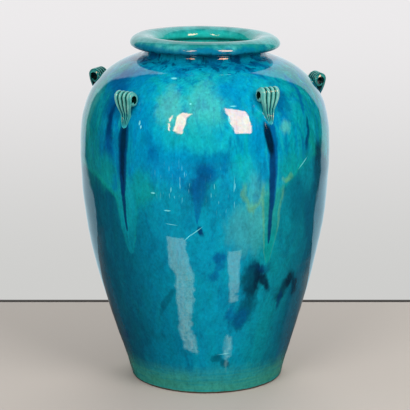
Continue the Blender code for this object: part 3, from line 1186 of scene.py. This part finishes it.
def edgeLook(tree, kind, noise):
    softness, wobble = edges[kind]
    return {"Softness": softness, "Wobble": swing(tree, noise, wobble)}


def byName(stops):
    return [(at, tones[name]) for at, name in stops]


def washOver(tree, colour, noises, washes):
    for noise, start, end, share, tone in washes:
        colour = mixColour(tree, between(tree, noises[noise], start, end, 0.0, share), colour, tones[tone])
    return colour


def layCoats(tree, spot, noises):
    # the two coats, washed into each other in front and with a hard edge at the sides
    turn = sway(tree, spot["Turn"], noises["broad"], coats["turnSway"])
    upper = washOver(tree, roundJar(tree, turn, byName(upperCoat)), noises, upperWashes)
    lower = washOver(tree, roundJar(tree, turn, byName(lowerCoat)), noises, lowerWashes)
    edge = roundJar(tree, spot["Turn"], [(at, (level, level, level, 1)) for at, level in coatEdge])
    offFront = maths(tree, "ABSOLUTE", spot["Turn"])
    toBack = between(tree, offFront, *coats["atBack"])
    toSide = between(tree, offFront, *coats["atSide"])
    fray = maths(tree, "MULTIPLY", toBack, swing(tree, noises["cloudy"], coats["backSway"]))
    above = maths(tree, "SUBTRACT", sway(tree, spot["Height"], noises["wavy"], coats["edgeSway"]), edge)
    blur = maths(tree, "MULTIPLY_ADD", toSide, coats["sideBlur"] - coats["frontBlur"], coats["frontBlur"])
    above = maths(tree, "DIVIDE", maths(tree, "ADD", above, fray), blur)
    colour = mixColour(tree, between(tree, above, -1.0, 1.0), lower, upper)
    line = between(tree, maths(tree, "ABSOLUTE", above), *coats["line"])
    return glazeOver(tree, colour, tones["green"], line, toSide)


def layPatches(tree, colour, spot, near, surface, noises):
    torn = swing(tree, surface["Mottle"], patchTear["mottle"])
    torn = maths(tree, "ADD", torn, swing(tree, noises["drawn"], patchTear["drawn"]))
    for *oval, aslant, tone, share in patches:
        mask = blotAt(tree, near, oval, Lean=aslant, Wobble=torn)["Mask"]
        colour = glazeOver(tree, colour, tones[tone], mask, share)
    # the lower half of a pale ring
    ring = blotAt(tree, near, ringStain["oval"], **edgeLook(tree, "ring", surface["Mottle"]))["Edge"]
    middle = ringStain["oval"][1]
    lowHalf = between(tree, spot["Height"], middle + ringStain["above"], middle - ringStain["below"])
    return glazeOver(tree, colour, tones["moss"], ring, maths(tree, "MULTIPLY", lowHalf, ringStain["share"]))


def layRuns(tree, colour, calm, surface, noises):
    breaks = between(tree, noises["cloudy"], *bands["breaks"])
    look = edgeLook(tree, "halo", surface["Mottle"])
    for halo in halos:
        run = runAt(tree, calm, halo, **look)
        top = halo["at"][1]
        lowPart = between(tree, calm[1], top - haloSpread["from"], top - haloSpread["full"])
        spread = maths(tree, "MULTIPLY", lowPart, haloSpread["share"])
        colour = glazeOver(tree, colour, tones[halo["tone"]], run["Mask"], spread)
        broken = maths(tree, "MULTIPLY", lowPart, breaks)
        colour = glazeOver(tree, colour, tones[halo["line"]], run["Edge"], broken)
    look = edgeLook(tree, "run", surface["Mottle"])
    for run in glazeRuns:
        mask = runAt(tree, calm, run, **look)["Mask"]
        colour = glazeOver(tree, colour, tones[run["tone"]], mask, run["share"])
    bead = blotAt(tree, calm, inkBead["oval"], Lean=inkBead["lean"], Softness=inkBead["softness"])
    return mixColour(tree, bead["Mask"], colour, tones["ink"])


def layBands(tree, colour, spot, noises):
    # the blue that gathers under the rim, and the greener foot with its throwing lines
    neckEdge = sway(tree, spot["Height"], noises["wavy"], wander["neck"])
    cyan = between(tree, noises["washed"], *bands["neckCyan"])
    navy = between(tree, noises["drawn"], *bands["neckNavy"])
    neckTone = mixColour(tree, navy, mixColour(tree, cyan, tones["cobalt"], tones["cyan"]), tones["navy"])
    colour = mixColour(tree, between(tree, neckEdge, *bands["neck"]), colour, neckTone)
    footEdge = sway(tree, spot["Height"], noises["cloudy"], wander["foot"])
    thrown = between(tree, noises["lines"], *bands["throwingLines"])
    footTone = mixColour(tree, thrown, tones["foot"], tones["lowTeal"])
    return mixColour(tree, between(tree, footEdge, *bands["foot"]), colour, footTone)


def layMarks(tree, colour, spot, near, surface, noises):
    # fine vertical flecks in two places, the scratches, and painted glints of light
    flecks = between(tree, noises["flecks"], *bands["flecks"])
    left, right = (blotAt(tree, near, oval)["Mask"] for oval in fleckPlaces)
    flecked = maths(tree, "MULTIPLY", maths(tree, "MAXIMUM", left, right), covers["flecks"])
    marks = maths(tree, "MULTIPLY", flecks, flecked)
    still = (spot["Turn"], spot["Height"])
    look = edgeLook(tree, "scratchAndGlint", surface["Grain"])
    for *oval, tilt in fineMarksAndGlints:
        mark = blotAt(tree, still, oval, Tilt=tilt, **look)["Mask"]
        scratchAndGlintShare = maths(tree, "MULTIPLY", mark, covers["scratchesAndGlints"])
        marks = maths(tree, "MAXIMUM", marks, scratchAndGlintShare)
    return mixColour(tree, marks, colour, tones["fleckAndGlint"])


def makeTurquoiseGroup():
    tree, given, out = newGroup("turquoiseGlaze", [("Place", "Vector", None), ("Inner", "Float", 0.0)], [
        ("Colour", "Color"), ("Relief", "Float"),
    ])
    place = given["Place"]
    spot = useGroup(tree, placeGroup, Place=place)
    surface = useGroup(tree, surfaceGroup, Place=place)
    noises = noisesAt(tree, place, glazeNoises)
    # places that wander far, for the patches, and a little, for the runs
    nearTurn = sway(tree, spot["Turn"], noises["wavy"], wander["nearTurn"])
    near = (nearTurn, sway(tree, spot["Height"], noises["washed"], wander["nearHeight"]))
    calm = (sway(tree, spot["Turn"], noises["wavy"], wander["calmTurn"]), spot["Height"])

    colour = layCoats(tree, spot, noises)
    colour = layPatches(tree, colour, spot, near, surface, noises)
    colour = layRuns(tree, colour, calm, surface, noises)
    colour = layBands(tree, colour, spot, noises)
    colour = layMarks(tree, colour, spot, near, surface, noises)
    # painted light inside the jar: paler towards the mouth, darker deeper in
    mouthLight = between(tree, spot["Height"], *bands["litMouth"])
    innerTone = mixColour(tree, mouthLight, tones["inside"], tones["litMouth"])
    colour = glazeOver(tree, colour, innerTone, given["Inner"], covers["inner"])

    # the grain of the glaze, its pits, and the bare clay at the foot's edge
    light = sway(tree, 1.0, noises["brushed"], grain["brushed"])
    light = sway(tree, light, surface["Grain"], grain["fine"])
    light = sway(tree, light, surface["Mottle"], grain["mottle"])
    colour = gradeColour(tree, colour, light, sway(tree, 0.5, noises["cloudy"], grain["hue"]))
    colour = glazeOver(tree, colour, tones["deep"], surface["Specks"], grain["pits"])
    footEdge = sway(tree, spot["Height"], noises["wavy"], wander["bareFoot"])
    bareFoot = between(tree, footEdge, *bands["bareFoot"])
    feed(tree, out["Colour"], mixColour(tree, bareFoot, colour, tones["clay"]))
    feed(tree, out["Relief"], surface["Relief"])
    return tree


turquoiseGroup = makeTurquoiseGroup()


gloss = {"roughness": 0.05, "ior": 1.55, "bump": 0.2, "bumpDepth": 0.001}


def finishGlaze(tree, colour, relief, roughness=gloss["roughness"]):
    shader = tree.nodes["Principled BSDF"]
    feed(tree, shader.inputs["Base Color"], colour)
    shader.inputs["Roughness"].default_value = roughness
    shader.inputs["IOR"].default_value = gloss["ior"]
    bump = addNode(tree, "ShaderNodeBump")
    bump.inputs["Strength"].default_value = gloss["bump"]
    bump.inputs["Distance"].default_value = gloss["bumpDepth"]
    feed(tree, bump.inputs["Height"], relief)
    feed(tree, shader.inputs["Normal"], bump.outputs[0])
    return shader


def makeBodyGlaze():
    material, tree = newMaterial("turquoiseGlaze")
    inner = attributeOf(tree, "innerSide")
    glaze = useGroup(tree, turquoiseGroup, Place=objectPlace(tree), Inner=inner)
    finishGlaze(tree, glaze["Colour"], glaze["Relief"])
    return material


# the rim's thinner, greener glaze: blue where it pooled in front, with painted shade underneath
rimTones = {
    "green": tint(12, 130, 128),
    "mint": tint(66, 162, 160),
    "blue": tint(0, 104, 138),
    "underShade": tint(0, 44, 60),
    "crown": tint(4, 108, 104),
    # inner is a paler tone, painted light for the shaded inner side
    "inner": tint(28, 172, 162),
    "speck": tint(20, 92, 92),
}
rimGlaze = {
    "outside": (0.110, 0.120),  # radii between which the outer side begins
    "inside": (0.108, 0.099),  # and the inner side
    "paintedInnerLight": (0.656, 0.644, 0.1, 0.95),  # painted light on the inner side, stronger further down where shade falls
    "crown": (4, 0.662, 44, 0.008),
    "crownShare": 0.75,
    "poolLevel": 0.641,
    "poolHalf": 0.0085,
    "pools": [
        # turn, half turn, share
        (2, 20, 0.9), (26, 14, 0.8), (50, 9, 0.6), (-40, 26, 0.85), (-120, 30, 0.7), (110, 20, 0.6),
        (156, 24, 0.8),
    ],
    "underShadeLevels": (0.6415, 0.6355, 0.0, 0.95),
    "heightSway": 0.016,  # how far the places wander, in metres and degrees
    "turnSway": 50,
    "poolSoftness": 0.4,
    "mint": (0.36, 0.64),
    "grain": 0.7,
    "mottle": 0.4,
    "pits": 0.6,
}
rimNoises = {
    "washed": ((1, 1, 0.8), 38, 4, 0.6),
    "streaked": ((1, 1, 0.25), 70, 3, 0.6, 0, (0.4, 0, 0.1)),
}


def makeRimGlaze():
    material, tree = newMaterial("rimGlaze")
    place = objectPlace(tree)
    spot = useGroup(tree, placeGroup, Place=place)
    surface = useGroup(tree, surfaceGroup, Place=place)
    noises = noisesAt(tree, place, rimNoises)
    lowered = sway(tree, spot["Height"], noises["streaked"], rimGlaze["heightSway"])
    turned = sway(tree, spot["Turn"], noises["washed"], rimGlaze["turnSway"])
    parts = splitPlace(tree, place)
    squares = maths(tree, "MULTIPLY", parts["X"], parts["X"])
    squares = maths(tree, "MULTIPLY_ADD", parts["Y"], parts["Y"], squares)
    radius = maths(tree, "SQRT", squares)
    outside = between(tree, radius, *rimGlaze["outside"])
    inside = between(tree, radius, *rimGlaze["inside"])
    paintedInnerLight = between(tree, lowered, *rimGlaze["paintedInnerLight"])
    minty = between(tree, noises["washed"], *rimGlaze["mint"])
    colour = mixColour(tree, minty, rimTones["green"], rimTones["mint"])
    # painted light: a paler tone on the inner side, stronger further down into the shade
    colour = glazeOver(tree, colour, rimTones["inner"], inside, paintedInnerLight)
    crown = blotAt(tree, (spot["Turn"], lowered), rimGlaze["crown"])["Mask"]
    colour = glazeOver(tree, colour, rimTones["crown"], crown, rimGlaze["crownShare"])
    for turn, half, share in rimGlaze["pools"]:
        oval = (turn, rimGlaze["poolLevel"], half, rimGlaze["poolHalf"])
        pool = blotAt(tree, (turned, lowered), oval, Softness=rimGlaze["poolSoftness"])["Mask"]
        colour = glazeOver(tree, colour, rimTones["blue"], maths(tree, "MULTIPLY", pool, share), outside)
    # painted shade on the outer side below the rim's widest level
    underShade = between(tree, lowered, *rimGlaze["underShadeLevels"])
    colour = glazeOver(tree, colour, rimTones["underShade"], underShade, outside)
    colour = glazeOver(tree, colour, rimTones["speck"], surface["Specks"], rimGlaze["pits"])
    light = sway(tree, 1.0, surface["Grain"], rimGlaze["grain"])
    light = sway(tree, light, surface["Mottle"], rimGlaze["mottle"])
    finishGlaze(tree, gradeColour(tree, colour, light), surface["Relief"])
    return material


bodyGlaze = makeBodyGlaze()
for piece in (slab, lower, belly, shoulder, neck):
    setMaterial(piece, bodyGlaze)
setMaterial(rim, makeRimGlaze())


# the lugs' paler glaze, thin on the ribs and dark where it pooled between them, with painted shade in the
# hollow of the curl and on the lugs at the sides
lugTones = {
    "crest": tint(118, 184, 172),
    "slope": tint(66, 152, 146),
    "groove": tint(18, 94, 88),
    # pool is also the painted shade in the hollow of the curl
    "pool": tint(2, 40, 36),
    "tailCrest": tint(48, 150, 138),
    "tailGroove": tint(6, 84, 112),
    # a painted highlight at the tail's tip
    "tipHighlight": tint(50, 180, 196),
}
lugGlazing = {
    "depths": [(0.05, "crest"), (0.35, "slope"), (0.62, "groove"), (0.95, "pool")],
    "tailDepths": (0.0, 0.5),
    "tail": (0.42, 0.2, 0.0, 0.85),  # shares of the strap, and how strong the tail's tones are at each
    "tipHighlight": (0.09, 0.0, 0.0, 0.8),
    "back": (0.92, 1.0, 0.5, 0.06),  # hardly any gloss on the strap's back, in the hollow of the curl
    "mottle": 0.5,
    "grain": 0.5,
    "roughness": 0.07,
}


def makeLugGlaze():
    material, tree = newMaterial("lugGlaze")
    surface = useGroup(tree, surfaceGroup, Place=objectPlace(tree))
    # the groove depth, with the painted shade of the curl's hollow and of the side lugs
    deep = attributeOf(tree, "grooveDepthAndShade")
    along = attributeOf(tree, "strapPlace")
    level = sway(tree, deep, surface["Mottle"], lugGlazing["mottle"])
    colour = rampOf(tree, level, [(at, lugTones[name]) for at, name in lugGlazing["depths"]])
    tailDeep = between(tree, level, *lugGlazing["tailDepths"])
    tail = mixColour(tree, tailDeep, lugTones["tailCrest"], lugTones["tailGroove"])
    colour = mixColour(tree, between(tree, along, *lugGlazing["tail"]), colour, tail)
    # painted highlight where the tail's tip meets the wall
    colour = mixColour(tree, between(tree, along, *lugGlazing["tipHighlight"]), colour, lugTones["tipHighlight"])
    colour = gradeColour(tree, colour, sway(tree, 1.0, surface["Grain"], lugGlazing["grain"]))
    shader = finishGlaze(tree, colour, surface["Relief"], lugGlazing["roughness"])
    feed(tree, shader.inputs["Specular IOR Level"], between(tree, deep, *lugGlazing["back"]))
    return material


lugGlaze = makeLugGlaze()
for piece in lugs:
    setMaterial(piece, lugGlaze)
print("glazes made")


# the setting: floor, wall, windows, lamps and camera

setting = {
    "turn": 5.0,  # the camera stands this many degrees towards +X from the front
    "distance": 3.279,
    "height": 1.082,
    "pitch": 12.92,
    "lens": 154.27,
    "sensor": 36,
    "floorSize": 14,
    "floorDrop": 0.0002,  # so that the foot's underside doesn't lie in it
    "floorTone": tint(184, 176, 168),
    "floorInGloss": tint(10, 10, 10),
    "wallBehind": 0.474,
    "glowStep": 0.004,  # the wall's glows stand this far apart
    "wallCorners": [(-7, -0.05), (7, -0.05), (7, 4), (-7, 4)],
    "wallTop": tint(237, 235, 236),
    "wallFoot": tint(206, 206, 204),
    "joint": tint(40, 34, 30),
    "jointHeight": (0.0062, 0.0044, 0.0, 0.92),
    "paleFrom": 0.7,  # the height from which the wall has its upper, palest painted light
    "glowTop": tint(226, 234, 238),
    "glowFoot": tint(178, 210, 222),
    "glowStrength": 1.2,
    "glowFade": 0.05,
    "windowFront": 2.3,
    "sunHeight": 0.002,
    "sunFade": 0.022,
}
floorGloss = {
    # the levels between which the floor turns dark in the gloss, and how dark at each
    "inFront": (0.47, 0.1, 0.5, 0.94),
    "nearBy": (-0.13, -0.08, 0.94, 0.84),
    "nearSlope": -0.46,  # what a metre to either side adds to a spot's place in nearBy
    "toLeft": (-0.7, -0.95, 0.5, 0.94),
    "toRight": (0.42, 0.6, 0.5, 0.94),
}
# flat shapes round the jar, as corners seen from the camera's side: (to the right, up or away)
wallGlows = {
    "leftGlow": [
        (-0.11, -0.05), (-0.11, 0.64), (0.17, 0.66), (0.17, 1.50), (-0.42, 1.52), (-0.58, 1.32),
        (-0.61, 0.92), (-0.65, 0.76), (-0.65, 0.31), (-0.86, 0.18), (-0.94, 0.12), (-0.92, -0.05),
    ],
    "rightGlow": [
        (0.90, -0.05), (0.96, 0.0), (0.95, 0.11), (0.84, 0.17), (0.80, 0.38), (0.73, 0.56), (0.77, 0.78),
        (0.72, 0.94), (0.68, 1.15), (0.55, 1.31), (0.24, 1.45), (0.05, 1.49), (0.05, 0.64), (0.11, 0.6),
        (0.11, -0.05),
    ],
}
windows = {
    "leftWindow": [(-1.025, 2.56), (-1.256, 1.24), (-0.848, 1.22), (-0.52, 2.33)],
    "leftSashTop": [(-1.48, 2.06), (-1.52, 1.70), (-1.42, 1.70), (-1.39, 2.06)],
    "leftSashFoot": [(-1.53, 1.60), (-1.50, 1.28), (-1.41, 1.28), (-1.44, 1.60)],
    "rightWindow": [(0.93, 3.0), (1.0, 1.89), (1.09, 1.1), (2.03, 1.1), (2.2, 1.72), (2.33, 3.1)],
}
sunOnFloor = {
    "leftSun": [
        (-0.47, -0.70), (-0.34, -0.53), (-0.205, -0.41), (-0.16, -0.33), (-0.1, -0.23), (-0.015, -0.215),
        (-0.024, -0.26), (-0.056, -0.31), (-0.058, -0.37), (-0.045, -0.44), (-0.09, -0.56), (-0.25, -0.79),
    ],
    "rightSun": [
        (0.22, -0.66), (0.165, -0.49), (0.128, -0.345), (0.212, -0.35), (0.27, -0.46), (0.37, -0.60),
    ],
    "smallSun": [(0.095, -0.285), (0.056, -0.24), (0.052, -0.165), (0.13, -0.245)],
}
windowLook = {
    "tones": ((1, 0.46, 0.32, 1), (1, 0.52, 0.22, 1)),
    "strength": 20,
    "spread": 4,
    "ragged": 0.2,
    "gritLow": 0.85,
}
sunLook = {
    "tones": ((0.66, 1, 0.76, 1), (0.9, 1, 0.7, 1)),
    "strength": 3.2,
    "spread": 70,
    "ragged": 1.9,
    "gritLow": 0.45,
}
glowLook = {
    # what the windows and the sun have in common
    "patches": (3, 0.6),  # detail and roughness
    "stones": (55, 5, 0.8),  # scale, detail and roughness
    "grit": (2, 0.6),
    "gritSpread": 1.4,
    "toneLevels": (0.4, 0.6),
    "levels": (0.15, 1.0),
    "gritLevels": (0.36, 0.58),
}
lamps = {
    # spot from the camera's side, width and height, watts
    "leftLamp": ((-1.1, -2.3, 1.9), (1.4, 1.6), 42),
    "rightLamp": ((1.7, -2.1, 2.0), (1.6, 1.8), 62),
    "backLamp": ((0.4, 2.6, 1.8), (2.4, 1.6), 55),
}
room = {
    "light": (0.42, 0.44, 0.46, 1),
    "gloss": (0.008, 0.02, 0.025, 1),  # the dark room that the glaze shows
    "view": (0.8, 0.8, 0.8, 1),  # what the camera sees past the floor and the wall
}


def aroundAxis(x, y, z):
    # a spot given from the camera's side, turned into the jar's own axes
    turn = math.radians(setting["turn"])
    return (x * math.cos(turn) - y * math.sin(turn), x * math.sin(turn) + y * math.cos(turn), z)


def flatShape(name, corners, fading=0.0):
    # one face through the corners, which are spots from the camera's side, with a rim that fades
    deselectAll()
    bpy.ops.mesh.primitive_circle_add(vertices=len(corners), radius=1, fill_type="NGON", location=(0, 0, 0))
    piece = namePiece(name)
    for vert, corner in zip(piece.data.vertices, corners):
        vert.co = aroundAxis(*corner)
    editAll(piece)
    bpy.ops.mesh.normals_make_consistent(inside=False)
    if fading:
        bpy.ops.mesh.inset(thickness=fading, use_even_offset=True)
    bpy.ops.object.mode_set(mode="OBJECT")
    fade = piece.data.attributes.new("fade", "FLOAT", "POINT")
    for vert in piece.data.vertices:
        fade.data[vert.index].value = 0.0 if fading and vert.index < len(corners) else 1.0
    return piece


def hideFrom(piece, *rays):
    for ray in rays:
        setattr(piece, "visible_" + ray, False)


def lightUp(piece, look):
    # a glow in two tones that only the glaze's gloss shows
    material, tree = newMaterial(piece.name + "Glow")
    place = objectPlace(tree)
    patchy = noiseAt(tree, place, (1, 1, 1), look["spread"], *glowLook["patches"])
    stones = noiseAt(tree, place, (1, 1, 1), *glowLook["stones"])
    grit = noiseAt(tree, place, (1, 1, 1), look["spread"] * glowLook["gritSpread"], *glowLook["grit"])
    share = sway(tree, attributeOf(tree, "fade"), stones, look["ragged"])
    level = between(tree, share, *glowLook["levels"], 0.0, look["strength"])
    dimmed = between(tree, grit, *glowLook["gritLevels"], look["gritLow"], 1.0)
    level = maths(tree, "MULTIPLY", level, dimmed)
    tone = mixColour(tree, between(tree, patchy, *glowLook["toneLevels"]), *look["tones"])
    glow = addNode(tree, "ShaderNodeEmission")
    feed(tree, glow.inputs["Color"], tone)
    feed(tree, glow.inputs["Strength"], level)
    tree.links.new(glow.outputs[0], tree.nodes["Material Output"].inputs["Surface"])
    setMaterial(piece, material)
    hideFrom(piece, "camera", "diffuse", "shadow")


def makeFloor():
    deselectAll()
    bpy.ops.mesh.primitive_plane_add(size=setting["floorSize"], location=(0, 0, -setting["floorDrop"]))
    floor = namePiece("floor")
    material, tree = newMaterial("paleFloor")
    # the dark room in front of the jar shows in its gloss, not the lit floor
    parts = splitPlace(tree, objectPlace(tree))
    inGloss = addNode(tree, "ShaderNodeLightPath").outputs["Is Glossy Ray"]
    inFront = between(tree, parts["Y"], *floorGloss["inFront"])
    aside = maths(tree, "ABSOLUTE", parts["X"])
    nearBy = maths(tree, "MULTIPLY_ADD", aside, floorGloss["nearSlope"], parts["Y"])
    inFront = maths(tree, "MINIMUM", inFront, between(tree, nearBy, *floorGloss["nearBy"]))
    toLeft = between(tree, parts["X"], *floorGloss["toLeft"])
    toRight = between(tree, parts["X"], *floorGloss["toRight"])
    dark = maths(tree, "MAXIMUM", inFront, maths(tree, "MAXIMUM", toLeft, toRight))
    shader = tree.nodes["Principled BSDF"]
    tone = glazeOver(tree, setting["floorTone"], setting["floorInGloss"], inGloss, dark)
    feed(tree, shader.inputs["Base Color"], tone)
    shader.inputs["Roughness"].default_value = 0.9
    shader.inputs["Specular IOR Level"].default_value = 0.0
    setMaterial(floor, material)


def faceFront(piece):
    # turned so that its front is towards the camera's side
    if piece.data.polygons[0].normal.y > 0:
        editAll(piece)
        bpy.ops.mesh.flip_normals()
        bpy.ops.object.mode_set(mode="OBJECT")


def glowOrClear(tree, colour, clearness, strength=1.0):
    # gives off its colour, and is clear by the share given
    glow = addNode(tree, "ShaderNodeEmission")
    feed(tree, glow.inputs["Color"], colour)
    glow.inputs["Strength"].default_value = strength
    clear = addNode(tree, "ShaderNodeBsdfTransparent")
    mixed = mixShaders(tree, clearness, glow.outputs[0], clear.outputs[0])
    tree.links.new(mixed, tree.nodes["Material Output"].inputs["Surface"])


def paintedWallLight(tree, up, foot, top):
    # painted light on the wall by the height, from its foot to where it is palest
    return mixColour(tree, between(tree, up, 0.0, setting["paleFrom"]), foot, top)


def makeWall():
    # a wall that glows with painted light, paler towards the top, with a thin line of painted shade in the
    # corner at the floor, only there when seen from the front
    wall = flatShape("wall", [(x, setting["wallBehind"], z) for x, z in setting["wallCorners"]])
    faceFront(wall)
    material, tree = newMaterial("paleWall")
    up = splitPlace(tree, objectPlace(tree))["Z"]
    colour = paintedWallLight(tree, up, setting["wallFoot"], setting["wallTop"])
    # painted shade in the corner where the wall meets the floor
    joint = between(tree, up, *setting["jointHeight"])
    back = addNode(tree, "ShaderNodeNewGeometry").outputs["Backfacing"]
    glowOrClear(tree, mixColour(tree, joint, colour, setting["joint"]), back)
    setMaterial(wall, material)
    hideFrom(wall, "glossy", "diffuse", "shadow")


def makeWallGlow(name, corners, behind):
    # a part of the wall that the glaze's gloss shows at one side of the jar
    shape = flatShape(name, [(x, behind, z) for x, z in corners], setting["glowFade"])
    faceFront(shape)
    material, tree = newMaterial(name)
    up = splitPlace(tree, objectPlace(tree))["Z"]
    colour = paintedWallLight(tree, up, setting["glowFoot"], setting["glowTop"])
    back = addNode(tree, "ShaderNodeNewGeometry").outputs["Backfacing"]
    faded = maths(tree, "SUBTRACT", 1.0, attributeOf(tree, "fade"))
    glowOrClear(tree, colour, maths(tree, "MAXIMUM", back, faded), setting["glowStrength"])
    setMaterial(shape, material)
    hideFrom(shape, "camera", "diffuse", "shadow")


def makeLamp(name, spot, size, power, target=(0, 0, 0.35)):
    deselectAll()
    bpy.ops.object.light_add(type="AREA", location=spot)
    lamp = bpy.context.object
    lamp.name = name
    lamp.data.shape = "RECTANGLE"
    lamp.data.size, lamp.data.size_y = size
    lamp.data.energy = power
    lamp.rotation_euler = (Vector(target) - Vector(spot)).to_track_quat("-Z", "Y").to_euler()
    lamp.visible_glossy = False


def makeRoom():
    # the world: one tone as light, a dark one for the gloss and a pale one for the camera
    world = bpy.data.worlds.new("room")
    bpy.context.scene.world = world
    world.use_nodes = True
    tree = world.node_tree
    light = tree.nodes["Background"]
    gloss = addNode(tree, "ShaderNodeBackground")
    view = addNode(tree, "ShaderNodeBackground")
    for node, name in ((light, "light"), (gloss, "gloss"), (view, "view")):
        node.inputs["Color"].default_value = room[name]
    paths = addNode(tree, "ShaderNodeLightPath").outputs
    mixed = mixShaders(tree, paths["Is Glossy Ray"], light.outputs[0], gloss.outputs[0])
    mixed = mixShaders(tree, paths["Is Camera Ray"], mixed, view.outputs[0])
    tree.links.new(mixed, tree.nodes["World Output"].inputs["Surface"])


def makeCamera():
    deselectAll()
    bpy.ops.object.camera_add(location=aroundAxis(0, -setting["distance"], setting["height"]))
    camera = bpy.context.object
    camera.name = "camera"
    camera.rotation_euler = (math.radians(90 - setting["pitch"]), 0, math.radians(setting["turn"]))
    camera.data.lens = setting["lens"]
    camera.data.sensor_width = setting["sensor"]
    bpy.context.scene.camera = camera


makeFloor()
makeWall()
for place, (name, corners) in enumerate(wallGlows.items()):
    makeWallGlow(name, corners, setting["wallBehind"] + setting["glowStep"] * place)
for name, corners in windows.items():
    lightUp(flatShape(name, [(x, -setting["windowFront"], z) for x, z in corners]), windowLook)
for name, corners in sunOnFloor.items():
    spots = [(x, y, setting["sunHeight"]) for x, y in corners]
    lightUp(flatShape(name, spots, setting["sunFade"]), sunLook)
for name, (spot, size, power) in lamps.items():
    makeLamp(name, aroundAxis(*spot), size, power)
makeRoom()
makeCamera()
bpy.context.scene.view_settings.view_transform = "Standard"
print("setting made")
